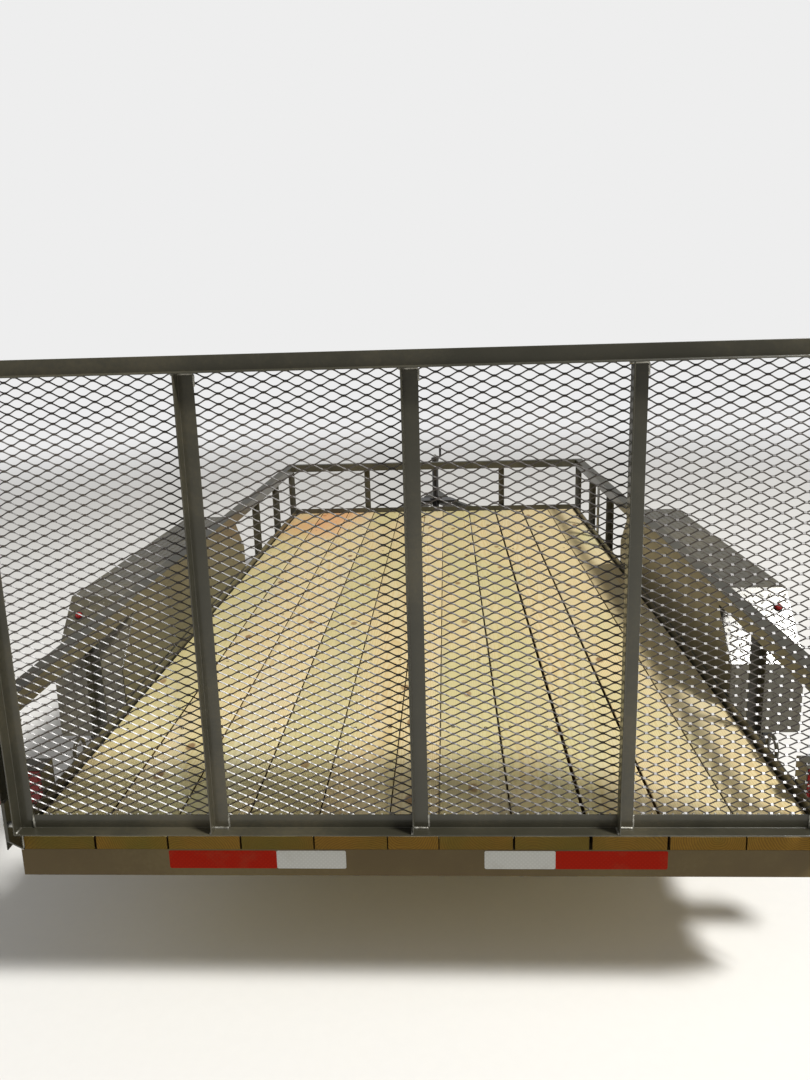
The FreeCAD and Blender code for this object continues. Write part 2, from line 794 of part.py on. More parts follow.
def gate_pins():
    # Hinge pins at the foot and latch pins at rail height, both from the side angle outwards
    inner = gate_width / 2
    hinge = rod((inner, pin_y, pin_z), (outer_x + pin_proud, pin_y, pin_z), pin_radius)
    outer = inner + keeper_gap + keeper_wall + pin_proud
    latch_z = deck_top + latch_above_deck
    latch = bar((inner, latch_y, latch_z), (outer, latch_y, latch_z), latch_radius, eye_sides)
    return [hinge, mirrored(hinge), latch, mirrored(latch)]


def hinge_ears():
    # Plate on the rear member, against the side member's end, with its lower rear corner cut off
    inner = outer_x - ear_wall
    rear = pin_y - ear_margin
    top = pin_z + ear_rise
    outline = [(0, board_bottom), (member_wall, board_bottom), (member_wall, frame_top), (-ear_taper, top),
               (rear, top), (rear, board_bottom + ear_cut)]
    bore = rod((inner - 1, pin_y, pin_z), (outer_x + 1, pin_y, pin_z), pin_radius + pin_fit)
    ear = along_x(outline, inner, outer_x).cut(bore)
    return [ear, mirrored(ear)]


def latch_keepers():
    inner = gate_width / 2 + keeper_gap
    z = deck_top + latch_above_deck
    low, high = z - keeper_half_height, z + keeper_half_height
    reach = latch_y - latch_radius - keeper_behind_pin
    plate = box(inner, inner + keeper_wall, reach, keeper_length, low, high)
    slot = box(inner - 1, inner + keeper_wall + 1, reach - 1, latch_y + latch_radius + keeper_before_pin,
               z - latch_slot / 2, z + latch_slot / 2)
    block = box(inner + keeper_wall, outer_x, 0, keeper_length, low, high)
    keeper = fused([plate.cut(slot), block])
    return [keeper, mirrored(keeper)]


def tie_loops():
    # Bent rod stood on its two legs against the outside of the side member
    x = outer_x + loop_rod
    low = frame_bottom + loop_foot
    bend = loop_length / 2
    bow = half_round(loop_y, low + loop_height - bend, bend, loop_bends)
    loop = bent_rod(x, [(loop_y - bend, low)] + bow + [(loop_y + bend, low)], loop_rod, eye_sides)
    return [loop, mirrored(loop)]


def wheel_nodes():
    nodes = {}
    for end, y in axle_ys.items():
        for side, sign in sides.items():
            for name, shape in (("tyre", tyre()), ("rim", rim())):
                if sign < 0:
                    shape = mirrored(shape)
                shape.translate(Vector(sign * wheel_x, y, axle_z))
                nodes[f"{name}_{end}_{side}"] = shape
    return nodes


def pair(name, right):
    both = right if isinstance(right, list) else [right]
    return {f"{name}_right": both, f"{name}_left": [mirrored(shape) for shape in both]}


def trailer_nodes():
    springs = [leaf_spring(y) for y in axle_ys.values()]
    u_bolts = [u_bolt_set(y) for y in axle_ys.values()]
    posts = pair("uprights", side_posts())
    posts["uprights_right"] = posts["uprights_right"] + [carrier_post()]
    nodes = {
        "frame_front": front_member(),
        "frame_rear": rear_member(),
        "crossmembers": crossmembers(),
        "deck_boards": deck_boards(),
        "top_rail_front": front_rail(),
        "uprights_front": front_posts(),
        "marker_lights": marker_lights(),
        "tail_light_boxes": [light_box(), mirrored(light_box())],
        "tail_light_lenses": [light_lens(), mirrored(light_lens())],
        "axle_front": axle(axle_ys["front"]),
        "axle_rear": axle(axle_ys["rear"]),
        "spring_hangers": hangers(),
        "equalizers": [equalizer(), mirrored(equalizer())],
        "u_bolts": u_bolts + [mirrored(shape) for shape in u_bolts],
        "coupler": coupler(),
        "coupler_latch": coupler_latch(),
        "jack_tube": jack_tube(),
        "jack_crank": jack_crank(),
        "jack_leg": jack_leg(),
        "gate_frame": gate_frame(),
        "gate_bars": gate_bars(),
        "gate_mesh": gate_mesh(),
        "gate_pins": gate_pins(),
        "hinge_ears": hinge_ears(),
        "latch_keepers": latch_keepers(),
        "tie_loops": tie_loops(),
    }
    nodes.update(posts)
    nodes.update(pair("frame_side", side_member()))
    nodes.update(pair("top_rail", side_rail()))
    nodes.update(pair("fender", fender()))
    nodes.update(pair("fender_back", fender_back()))
    nodes.update(pair("leaf_springs", springs))
    nodes.update(pair("tongue_beam", tongue_beam()))
    nodes.update(wheel_nodes())
    return nodes


os.makedirs("parts", exist_ok=True)
for node, shapes in trailer_nodes().items():
    solids = shapes if isinstance(shapes, list) else [shapes]
    placed = Part.makeCompound(solids) if len(solids) > 1 else solids[0]
    placed.translate(Vector(0, -middle_y, 0))
    placed.exportStep(f"parts/{node}.step")
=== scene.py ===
from math import cos, hypot, pi, radians, sin, sqrt
from random import choice, random, seed, uniform

import bmesh
import bpy
import numpy as np
from mathutils import Matrix, Vector


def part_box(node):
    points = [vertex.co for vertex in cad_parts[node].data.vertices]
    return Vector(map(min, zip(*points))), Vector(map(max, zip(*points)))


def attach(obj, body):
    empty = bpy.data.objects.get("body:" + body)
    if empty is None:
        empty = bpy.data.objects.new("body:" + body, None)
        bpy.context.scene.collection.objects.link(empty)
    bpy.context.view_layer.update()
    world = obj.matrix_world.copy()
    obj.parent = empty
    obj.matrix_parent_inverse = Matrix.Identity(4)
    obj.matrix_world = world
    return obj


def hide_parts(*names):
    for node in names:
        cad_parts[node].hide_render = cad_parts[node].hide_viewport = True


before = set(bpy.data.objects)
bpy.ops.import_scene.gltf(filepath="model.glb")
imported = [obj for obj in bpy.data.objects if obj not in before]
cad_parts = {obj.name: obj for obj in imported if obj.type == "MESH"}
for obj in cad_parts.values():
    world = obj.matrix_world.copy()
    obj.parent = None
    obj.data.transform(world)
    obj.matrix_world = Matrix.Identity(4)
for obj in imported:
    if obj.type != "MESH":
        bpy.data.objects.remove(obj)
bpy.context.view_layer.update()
seed(41)
print("frame loaded:", len(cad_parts), "nodes")

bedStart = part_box("deck_boards")[0].y  # the bed's rear face


def bedY(y):
    # A place along the trailer, from a distance ahead of the bed's rear face
    return bedStart + y


# The trailer's own sizes and places, in metres, as in the part's source
bedLength = 4.2672
innerX = 1.016
outerX = 1.0208
deckTop = 0.49
boardBottom = 0.4519
frameBottom = 0.4471
frameTop = 0.5233
railUnder = 0.8432
railLeg = 0.0508
postLeg = 0.0381
postWall = 0.0032
gateBottom = 0.537
gateTop = 1.689
gateHalf = 0.9905
gateLeg = 0.0381
gateWall = 0.0032
gateBays = 4
meshBack = bedY(-0.0404)
wheelX = 1.144
axleZ = 0.344
axleY = {"front": bedY(2.122), "rear": bedY(1.258)}
springX = 0.9935
leafHalf = 0.02225
hangers = (0.9373, 1.69, 2.4427)  # along the bed, and the middle one carries the equalizer
jackY = bedY(4.9672)
gatePlaces = {"hinge": (bedY(-0.0494), 0.552), "latch": (bedY(-0.05945), 0.82)}


def turns(count, first=0.0):
    return [2 * pi * (i + first) / count for i in range(count)]


def linked(name, data):
    made = bpy.data.objects.new(name, data)
    bpy.context.scene.collection.objects.link(made)
    return made


# Sockets and materials

class Wire:
    # A node's output. Sums on it add Math nodes.
    def __init__(self, finish, socket):
        self.finish = finish
        self.socket = socket

    def also(self, name):
        return Wire(self.finish, self.socket.node.outputs[name])

    def __add__(self, other):
        return self.finish.sum("ADD", self, other)

    def __radd__(self, other):
        return self.finish.sum("ADD", other, self)

    def __sub__(self, other):
        return self.finish.sum("SUBTRACT", self, other)

    def __rsub__(self, other):
        return self.finish.sum("SUBTRACT", other, self)

    def __mul__(self, other):
        return self.finish.sum("MULTIPLY", self, other)

    def __rmul__(self, other):
        return self.finish.sum("MULTIPLY", other, self)

    def __truediv__(self, other):
        return self.finish.sum("DIVIDE", self, other)

    def __rtruediv__(self, other):
        return self.finish.sum("DIVIDE", other, self)

    def __gt__(self, other):
        return self.finish.sum("GREATER_THAN", self, other)


class Finish:
    # One material, or the world, and the few ways its nodes are made
    def __init__(self, name, home=None):
        self.home = home or bpy.data.materials.new(name)
        self.home.use_nodes = True
        self.tree = self.home.node_tree
        self.tree.nodes.clear()

    def node(self, kind, settings, sockets, output=0):
        made = self.tree.nodes.new("ShaderNode" + kind)
        for key, value in settings.items():
            setattr(made, key, value)
        for key, value in sockets.items():
            if isinstance(value, Wire):
                self.tree.links.new(value.socket, made.inputs[key])
            else:
                made.inputs[key].default_value = value
        return None if output is None else Wire(self, made.outputs[output])

    def sum(self, operation, first, second):
        return self.node("Math", {"operation": operation}, {0: first, 1: second})

    def between(self, value, low, high):
        # 0 below low, 1 above high, smooth in between
        return self.node("MapRange", {"interpolation_type": "SMOOTHSTEP"},
                         {"Value": value, "From Min": low, "From Max": high})

    def blend(self, share, first, second):
        return self.node("Mix", {"data_type": "RGBA"}, {0: share, 6: first, 7: second}, 2)

    def place(self, stretch=(1, 1, 1)):
        here = self.node("TexCoord", {}, {}, "Object")
        return self.node("Mapping", {}, {"Vector": here, "Scale": stretch})

    def waves(self, way, scale, stretch=(1, 1, 1)):
        return self.node("TexWave", {"bands_direction": way}, {"Vector": self.place(stretch), "Scale": scale})

    def noise(self, where, scale, detail=3.0, rough=0.55):
        return self.node("TexNoise", {},
                         {"Vector": where, "Scale": scale, "Detail": detail, "Roughness": rough})

    def bump(self, height, distance, strength=1.0):
        return self.node("Bump", {}, {"Height": height, "Distance": distance, "Strength": strength})

    def surface(self, colour, roughness, normal, more=()):
        sockets = {"Base Color": colour, "Roughness": roughness, "Normal": normal, **dict(more)}
        self.close(self.node("BsdfPrincipled", {}, sockets))
        return self.home

    def close(self, shader, output="OutputMaterial"):
        self.node(output, {}, {"Surface": shader}, None)


def clouded(name, coarse, fine, detail=3.0):
    # A finish with the two noises that most of them share
    f = Finish(name)
    where = f.place()
    return f, f.noise(where, coarse, 5.0, 0.6), f.noise(where, fine, detail, 0.6)


def tint(red, green, blue):
    # A colour as a screen shows it, in the renderer's own light
    def straight(c):
        c /= 255
        return c / 12.92 if c <= 0.04045 else ((c + 0.055) / 1.055) ** 2.4
    return (straight(red), straight(green), straight(blue), 1.0)


paintLook = {
    "pewter": tint(54, 52, 41),
    "pewterPale": tint(68, 65, 53),
    "dust": tint(112, 100, 70),
    "dustShare": 0.3,
    "roughness": 0.3,
    "coat": 0.3,
    "coatRoughness": 0.1,
    "level": 0.35,
}


def paintFinish(name, body, pale, **changes):
    look = {**paintLook, **changes}
    f, cloud, fine = clouded(name, 3.1, 85.0, 4.0)
    where = f.place()
    peel = f.noise(where, 420.0, 2.0, 0.5)
    height = f.node("SeparateXYZ", {}, {"Vector": where}, "Z")
    low = 1 - f.between(height, 0.3, 0.62)
    dust = f.between(cloud * 0.65 + fine * 0.35, 0.47, 0.66) * (low * 0.5 + 0.5) * look["dustShare"]
    colour = f.blend(f.between(cloud, 0.35, 0.7), body, pale)
    colour = f.blend(dust, colour, look["dust"])
    scuff = f.between(f.noise(f.place((1, 1, 6)), 34.0, 6.0, 0.7), 0.67, 0.73) * 0.3
    colour = f.blend(scuff, colour, look["pewterPale"])
    rough = look["roughness"] + cloud * 0.12 + dust * 0.35
    normal = f.bump(peel * 0.6 + fine * 0.4, 0.0004, 0.35)
    return f.surface(colour, rough, normal, {
        "Metallic": 0.1, "Specular IOR Level": look["level"],
        "Coat Weight": (1 - dust) * look["coat"], "Coat Roughness": look["coatRoughness"]})


woodLook = {
    "early": tint(216, 200, 156),
    "late": tint(194, 167, 114),
    "green": tint(178, 184, 128),
    "grey": tint(194, 187, 158),
    "stain": tint(212, 132, 78),
    "knot": tint(112, 74, 42),
    # End grain is darker than the face, and these end colours are darker still: part painted shade on the
    # boards' ends
    "endEarlyShaded": tint(138, 104, 28),
    "endLateShaded": tint(92, 62, 12),
    "endGreenShaded": tint(84, 84, 24),
    "ring": 0.0062,
}


def woodFinish(name, ends):
    look = woodLook
    f = Finish(name)
    pith = f.node("Attribute", {"attribute_name": "pith"}, {}, "Vector")
    tone = f.node("Attribute", {"attribute_name": "tone"}, {}, "Fac")
    here = f.place()
    away = f.node("VectorMath", {"operation": "SUBTRACT"}, {0: here, 1: pith})
    shifted = f.node("VectorMath", {"operation": "ADD"}, {0: here, 1: pith})
    along = f.node("Mapping", {}, {"Vector": shifted, "Scale": (5.0, 0.8, 5.0)})
    wander = f.noise(along, 1.4, 3.0, 0.5)
    x = f.node("SeparateXYZ", {}, {"Vector": away}, "X")
    z = x.also("Z")
    ringed = f.sum("POWER", x * x + z * z, 0.5) + wander * 0.055
    band = f.node("Math", {"operation": "FRACT"}, {0: ringed / look["ring"]})
    late = f.between(band, 0.35, 0.92) * (1 - f.between(band, 0.93, 0.99))
    fibre = f.noise(f.place((140, 3.0, 140)), 1.0, 4.0, 0.6)
    patch = f.noise(f.place((2.2, 0.7, 2.2)), 1.0, 4.0, 0.6)
    # End faces take the end-grain colours, part of whose darkness is painted shade
    early, dark = (look["endEarlyShaded"], look["endLateShaded"]) if ends else (look["early"], look["late"])
    colour = f.blend(late * 0.75, early, dark)
    colour = f.blend(fibre * 0.5, colour, dark)
    green = look["endGreenShaded"] if ends else look["green"]
    colour = f.blend(f.between(patch + tone * 0.3 - 0.15, 0.44, 0.66) * (0.7 if ends else 0.5), colour, green)
    if not ends:
        weather = f.between(f.noise(f.place((9, 0.9, 9)), 1.0, 5.0, 0.65), 0.45, 0.7)
        colour = f.blend(weather * 0.45, colour, look["grey"])
        cells = f.node("TexVoronoi", {"voronoi_dimensions": "2D"},
                       {"Vector": f.place((1.0, 0.55, 1.0)), "Scale": 4.2}, "Distance")
        chosen = f.node("SeparateColor", {}, {"Color": cells.also("Color")}, "Red") > 0.5
        knot = (1 - f.between(cells + fibre * 0.02, 0.05, 0.085)) * chosen
        colour = f.blend(knot * 0.8, colour, look["knot"])
        places = f.node("SeparateXYZ", {}, {"Vector": here}, "X")
        stained = (1 - f.between(places, -0.72, -0.35)) * f.between(places.also("Y"), 0.4, 1.3)
        colour = f.blend(stained * f.between(patch, 0.36, 0.6) * 0.6, colour, look["stain"])
    colour = f.blend(f.between(tone, 0.0, 1.0) * 0.3, colour, dark)
    normal = f.bump(late * 0.4 + fibre * 0.6, 0.0012, 0.6)
    return f.surface(colour, 0.72 + fibre * 0.2, normal, {"Specular IOR Level": 0.25})


def seamFinish():
    f = Finish("plankSeams")
    where = f.place((40, 2.0, 40))
    grain = f.noise(where, 1.0, 5.0, 0.65)
    colour = f.blend(f.between(grain, 0.4, 0.65), tint(52, 38, 20), tint(96, 74, 42))
    return f.surface(colour, 0.8 + grain * 0.1, f.bump(grain, 0.001, 0.5), {"Specular IOR Level": 0.1})


rubberLook = {"black": tint(38, 38, 37), "worn": tint(70, 68, 63), "dust": tint(118, 110, 92)}


def rubberFinish():
    look = rubberLook
    f, cloud, fine = clouded("tyreRubber", 9.0, 190.0)
    colour = f.blend(f.between(cloud, 0.4, 0.7), look["black"], look["worn"])
    colour = f.blend(f.between(fine * cloud, 0.26, 0.42) * 0.4, colour, look["dust"])
    return f.surface(colour, 0.62 + cloud * 0.25, f.bump(fine, 0.0006, 0.5))


def rimFinish():
    f, cloud, speck = clouded("rimWhite", 6.0, 120.0)
    colour = f.blend(f.between(cloud, 0.45, 0.75) * 0.5, tint(222, 222, 218), tint(196, 192, 180))
    colour = f.blend(f.between(speck * 0.6 + cloud * 0.4, 0.6, 0.68) * 0.5, colour, tint(140, 120, 92))
    normal = f.bump(f.noise(f.place(), 300.0, 2.0), 0.0003, 0.3)
    return f.surface(colour, 0.3 + cloud * 0.2, normal, {
        "Coat Weight": 0.4 + cloud * 0.2, "Coat Roughness": 0.1})


def plainMetal(name, bright, dull, roughness, metallic=1.0):
    f, cloud, fine = clouded(name, 40.0, 600.0)
    colour = f.blend(f.between(cloud, 0.35, 0.7), bright, dull)
    normal = f.bump(cloud * 0.5 + fine * 0.5, 0.0006, 0.5)
    return f.surface(colour, roughness + cloud * 0.2, normal, {"Metallic": metallic})


def lensFinish(name, deep, bright):
    f = Finish(name)
    flutes = f.waves("X", 130.0)
    rows = f.waves("Z", 130.0)
    cloud = f.noise(f.place(), 14.0, 4.0)
    colour = f.blend(flutes * rows * 0.6 + cloud * 0.2, deep, bright)
    return f.surface(colour, 0.3 + cloud * 0.1, f.bump(flutes * rows, 0.001, 0.5), {
        "Coat Weight": 0.25 + cloud * 0.2, "Coat Roughness": 0.05, "Specular IOR Level": 0.2})


def tapeFinish(name, colour, pale):
    # Prism cells under a clear film: small diamonds in rows
    f = Finish(name)
    one = f.waves("DIAGONAL", 55.0, (1, 0, 1))
    two = f.waves("DIAGONAL", 55.0, (-1, 0, 1))
    cloud = f.noise(f.place(), 22.0, 5.0, 0.6)
    cells = f.between(one * two, 0.2, 0.6)
    shade = f.blend(cells * 0.3, colour, pale)
    shade = f.blend(f.between(cloud, 0.5, 0.75) * 0.12, shade, tint(110, 92, 62))
    return f.surface(shade, 0.38 + cloud * 0.2, f.bump(cells, 0.0003, 0.4), {
        "Coat Weight": cloud * 0.04, "Coat Roughness": 0.15, "Specular IOR Level": 0.05})


finishes = {
    "frame": paintFinish("pewterPaint", paintLook["pewter"], paintLook["pewterPale"]),
    # frame_rear wears the same pewter as the frame; this warm brown with little sheen is a painted reflection
    # of sunlit ground on its rear face
    "rear": paintFinish("rearMemberPaintedGroundReflection", tint(84, 69, 38), tint(94, 80, 46),
                        dustShare=0.35, roughness=0.4, coat=0.12, level=0.2),
    "mesh": paintFinish("meshPaint", tint(38, 28, 18), tint(50, 40, 28),
                        dustShare=0.1, roughness=0.34, coat=0.8, level=1.0, coatRoughness=0.4),
    "tread": paintFinish("treadplatePaint", tint(70, 66, 52), tint(86, 81, 64),
                         dustShare=0.4, roughness=0.22, coat=0.5, level=0.5),
    "running": paintFinish("runningGearPaint", tint(34, 34, 34), tint(52, 51, 48),
                           dustShare=0.6, roughness=0.42, coat=0.2),
    "jack": paintFinish("jackPaint", tint(20, 17, 15), tint(32, 29, 27),
                        dustShare=0.2, roughness=0.25, coat=0.6),
    "deck": woodFinish("treatedPine", False),
    "deckEndsShaded": woodFinish("pineEndGrainShaded", True),
    "deckSides": seamFinish(),
    "rubber": rubberFinish(),
    "rim": rimFinish(),
    "zinc": plainMetal("zincPlate", tint(186, 186, 182), tint(150, 146, 134), 0.34),
    "screw": plainMetal("deckScrew", tint(120, 112, 96), tint(84, 74, 60), 0.42),
    "weld": plainMetal("weldBead", tint(178, 176, 166), tint(104, 99, 86), 0.3, 0.7),
    "redLens": lensFinish("redLens", tint(104, 4, 2), tint(176, 20, 8)),
    "amberLens": lensFinish("amberLens", tint(190, 84, 4), tint(236, 140, 22)),
    # Both tapes are set darker than their own red and white: part painted shade
    "redTape": tapeFinish("redTape", tint(150, 22, 0), tint(176, 34, 0)),
    "whiteTape": tapeFinish("whiteTape", tint(186, 186, 180), tint(212, 212, 208)),
    "grip": paintFinish("gripPlastic", tint(30, 30, 31), tint(44, 44, 45),
                        dustShare=0.1, roughness=0.5, coat=0.0),
}
print("finishes made:", len(finishes))


# Mesh tools

class Form:
    # Points and faces of one piece, gathered in the part's frame
    def __init__(self):
        self.points = []
        self.faces = []
        self.inks = []

    def add(self, points, faces, ink=0):
        base = len(self.points)
        self.points += [tuple(p) for p in points]
        self.faces += [[base + i for i in face] for face in faces]
        self.inks += [ink] * len(faces)

    def loft(self, rings, closed=False, ends=True):
        count = len(rings[0])
        faces = []
        for r in range(len(rings) if closed else len(rings) - 1):
            a, b = r * count, (r + 1) % len(rings) * count
            faces += [(a + i, a + (i + 1) % count, b + (i + 1) % count, b + i) for i in range(count)]
        if ends and not closed:
            last = (len(rings) - 1) * count
            faces += [tuple(range(count))[::-1], tuple(range(last, last + count))]
        self.add([p for ring in rings for p in ring], faces)

    def lathe(self, outline, centre, axis, steps, closed=False, ends=True):
        # outline: (radius, distance along the axis) pairs
        along = Vector(axis).normalized()
        side = along.orthogonal().normalized()
        up = along.cross(side)
        around = [side * cos(t) + up * sin(t) for t in turns(steps)]
        rings = [[Vector(centre) + along * far + way * radius for way in around] for radius, far in outline]
        self.loft(rings, closed, ends)

    def prism(self, outline, shift):
        shift = Vector(shift)
        self.loft([[Vector(p) for p in outline], [Vector(p) + shift for p in outline]])

    def tube(self, path, radius, sides):
        path = [Vector(p) for p in path]
        rings = []
        across = None
        for i, point in enumerate(path):
            ahead = (path[min(i + 1, len(path) - 1)] - path[max(i - 1, 0)]).normalized()
            across = ahead.orthogonal() if across is None else across - ahead * across.dot(ahead)
            across.normalize()
            over = ahead.cross(across)
            rings.append([point + (across * cos(t) + over * sin(t)) * radius for t in turns(sides)])
        self.loft(rings)

    def mirrored(self):
        return [(-x, y, z) for x, y, z in self.points], [face[::-1] for face in self.faces]

    def both(self):
        # Adds the other side's copy of all that is there
        self.add(*self.mirrored())

    def piece(self, name, finish, slot="frame_paint", replaces=(), body="trailer", smooth=30, turn=True,
              ease=0):
        data = bpy.data.meshes.new(name)
        data.from_pydata(self.points, [], self.faces)
        for one in finish if isinstance(finish, list) else [finish]:
            data.materials.append(finishes[one])
        data.polygons.foreach_set("material_index", self.inks)
        if turn:
            work = bmesh.new()
            work.from_mesh(data)
            bmesh.ops.recalc_face_normals(work, faces=work.faces)
            work.to_mesh(data)
            work.free()
        if smooth:
            data.shade_smooth()
            data.set_sharp_from_angle(angle=radians(smooth))
        data.update()
        made = linked(name, data)
        if ease:
            roundEdges(made, ease, 3)
        return settle(made, body, replaces)


def arc(centre, radius, first, last, steps):
    angles = [radians(first + (last - first) * i / steps) for i in range(steps + 1)]
    return [(centre[0] + radius * cos(t), centre[1] + radius * sin(t)) for t in angles]


def roundEdges(made, width, segments):
    ease = made.modifiers.new("ease", "BEVEL")
    ease.width = width
    ease.segments = segments
    ease.limit_method = "ANGLE"
    ease.angle_limit = radians(35)
    even = made.modifiers.new("even", "WEIGHTED_NORMAL")
    even.keep_sharp = False


def settle(made, body, replaces=()):
    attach(made, body)
    if replaces:
        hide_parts(*replaces)
    return made


def easeEdges(name, finish, width=0.0012, segments=2):
    # A CAD node keeps its mesh; modifiers round its edges
    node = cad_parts[name]
    for slot in node.material_slots:
        slot.material = finishes[finish]
    weld = node.modifiers.new("weld", "WELD")
    weld.merge_threshold = 0.00002
    flat = node.modifiers.new("flat", "DECIMATE")
    flat.decimate_type = "DISSOLVE"
    flat.angle_limit = radians(0.5)
    roundEdges(node, width, segments)


# Camera at the photograph's place

camera = {
    "place": (0.098, bedY(-1.9491), 1.704),
    "lens": 28.73,
    "down": 0.2256,
    "yaw": -0.0517,
    "roll": -0.0279,
    "sensor": 36,
    "clip": (0.05, 200),
}


def setCamera(place, lens, down, yaw, roll, sensor, clip):
    data = bpy.data.cameras.new("camera")
    made = linked("camera", data)
    data.lens = lens
    data.sensor_width = sensor
    data.sensor_fit = "AUTO"
    data.clip_start, data.clip_end = clip
    flat = cos(down)
    ahead = Vector((sin(yaw) * flat, cos(yaw) * flat, -sin(down)))
    level = ahead.cross(Vector((0, 0, 1))).normalized()
    over = level.cross(ahead)
    c, s = cos(roll), sin(roll)
    right, up = level * c + over * s, over * c - level * s
    turn = Matrix((right, up, -ahead)).transposed()
    made.matrix_world = Matrix.Translation(place) @ turn.to_4x4()
    bpy.context.scene.camera = made


setCamera(**camera)


# Gate: expanded metal, its strands as bent bars that meet at the bonds

meshSizes = {
    "long": 0.0508,
    "short": 0.0234,
    "strand": 0.0029,
    "thick": 0.0024,
    "lean": 50.0,  # degrees between a strand's width and the sheet
    "bond": 0.0064,  # length of the flat where two strands are one
    "margin": 0.004,
    "split": 0.014,  # both halves meet behind the middle bar
    "least": 0.0004,  # no shorter piece of strand is left at an end
}


def expandedMetal(long, short, strand, thick, lean, bond, margin, split, least):
    half = gateHalf - margin
    low, high = gateBottom + margin, gateTop - margin
    lean = radians(lean)
    wide = np.array([sin(lean), cos(lean)])  # (y, z) along a strand's width
    deep = np.array([-wide[1], wide[0]])
    rise = (short / 2 - strand * wide[1]) / 2
    push = -strand * wide[0] / 2
    reach = (strand * wide[0] * 2 + thick * abs(deep[0])) / 2
    middleY = meshBack + reach
    run = (long / 2 - bond) / 2
    wave = [(-bond / 2, 1.0), (bond / 2, 1.0), (bond / 2 + run * 0.55, 0.52), (bond / 2 + run * 1.45, -0.52)]
    section = [wide * a * strand / 2 + deep * b * thick / 2
               for a, b in ((-1, -1), (1, -1), (1, 1), (-1, 1))]
    count = int((high - low) / (short / 2)) - 1
    first = (low + high) / 2 - (count - 1) / 2 * short / 2
    cells = int(half / long) + 2  # each side of the middle
    for side, x0, x1 in (("Left", -half, split), ("Right", split, half)):
        marks = []
        for i in range(-cells, cells + 1):
            for x, u in wave:
                marks.append((i * long + x, u))
                marks.append((i * long + long / 2 + x, -u))
        marks.sort()
        xs, us = np.array(marks).T
        inside = (xs > x0 + least) & (xs < x1 - least)
        px = np.concatenate([[x0], xs[inside], [x1]])
        pu = np.interp(px, xs, us)
        form = Form()
        for k in range(count):
            u = pu if k % 2 else -pu
            y, z = middleY + u * push, first + k * short / 2 + u * rise
            form.loft(np.stack([np.stack([px, y + a, z + b], 1) for a, b in section], 1).tolist())
        form.piece("expandedMetal" + side, "mesh", replaces=["gate_mesh"], body="gate", smooth=0, turn=False)


expandedMetal(**meshSizes)
easeEdges("gate_frame", "frame", 0.0014, 3)
easeEdges("gate_bars", "frame", 0.0012, 3)
print("gate mesh made")


# Deck boards with eased edges, a little cup and their own grain

deckSizes = {
    "width": 0.184,
    "edgeGap": 0.006,
    "seams": (0.006, 0.005, 0.005, 0.004, 0.003, 0.003, 0.006, 0.009, 0.008, 0.004),
    "curve": 0.003,
    "lengths": 56,
    "cup": 0.0012,
}


def deckBoards(width, edgeGap, seams, curve, lengths, cup):
    form = Form()
    pith, tone = [], []
    full = len(seams)
    span = 2 * innerX - 2 * edgeGap
    ripped = span - sum(seams) - full * width
    widths = [width] * (full // 2) + [ripped] + [width] * (full - full // 2)
    x = -innerX + edgeGap
    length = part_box("deck_boards")[1].y - bedStart
    bow = [(cos(radians(d)), sin(radians(d))) for d in (0, 30, 60, 90)]
    places = []
    for wide, gap in zip(widths, list(seams) + [0]):
        sag = uniform(0.2, 1.0) * cup
        sway = [uniform(-0.6, 0.6) * cup for k in range(7)]
        rings = []
        for step in range(lengths + 1):
            s = step / lengths
            y = bedStart + length * s
            k = min(int(s * 6), 5)
            drop = sway[k] + (sway[k + 1] - sway[k]) * (s * 6 - k)
            crown = deckTop - cup * 1.2 + drop
            ring = [(x, y, boardBottom), (x + wide, y, boardBottom)]
            ring += [(x + wide - curve + curve * c, y, crown - curve + curve * d) for c, d in bow]
            for share in (0.75, 0.5, 0.25):
                ring.append((x + wide * share, y, crown - sag * (1 - (2 * share - 1) ** 2)))
            ring += [(x + curve - curve * c, y, crown - curve + curve * d) for c, d in bow[::-1]]
            rings.append(ring)
        before, laid, around = len(form.points), len(form.inks), len(rings[0])
        form.loft(rings, ends=False)
        # The faces in the seams are dark
        for n in range(laid, len(form.inks)):
            if (n - laid) % around in (1, around - 1):
                form.inks[n] = 2
        form.add(rings[0], [tuple(range(around))], 1)
        form.add(rings[-1], [tuple(range(around))[::-1]], 1)
        heart = (x + wide * uniform(0.15, 0.85), uniform(0, 9),
                 boardBottom + choice([-1, 1]) * uniform(0.015, 0.07))
        pith += [heart] * (len(form.points) - before)
        tone += [random()] * (len(form.points) - before)
        places.append((x, wide))
        x += wide + gap
    inks = ["deck", "deckEndsShaded", "deckSides"]
    made = form.piece("planks", inks, "deck_wood", ["deck_boards"], smooth=40)
    grain = made.data.attributes.new("pith", "FLOAT_VECTOR", "POINT")
    grain.data.foreach_set("vector", [c for p in pith for c in p])
    shade = made.data.attributes.new("tone", "FLOAT", "POINT")
    shade.data.foreach_set("value", tone)
    return places


boardPlaces = deckBoards(**deckSizes)

screwSizes = {
    "radius": 0.0062,
    # Shares of the radius, and heights
    "head": ((1, 0), (1, 0.0012), (0.8, 0.0018), (0.45, 0.0018), (0.4, 0.0004)),
    "foot": 0.0032,  # below the boards' top
    "inset": 0.035,
    "bay": 0.6096,
    "stray": 0.006,
}


def deckScrews(radius, head, foot, inset, bay, stray):
    form = Form()
    rows = [0.022] + [i * bay + 0.02 for i in range(1, 7)] + [bedLength - 0.03]
    for x, width in boardPlaces:
        for row in rows:
            for side in (inset, width - inset):
                place = (x + side + uniform(-stray, stray), bedY(row) + uniform(-stray, stray),
                         deckTop - foot)
                form.lathe([(radius * share, far) for share, far in head], place, (0, 0, 1), 10)
    form.piece("deckScrews", "screw", "zinc_steel")


deckScrews(**screwSizes)
print("deck made:", len(boardPlaces), "boards")


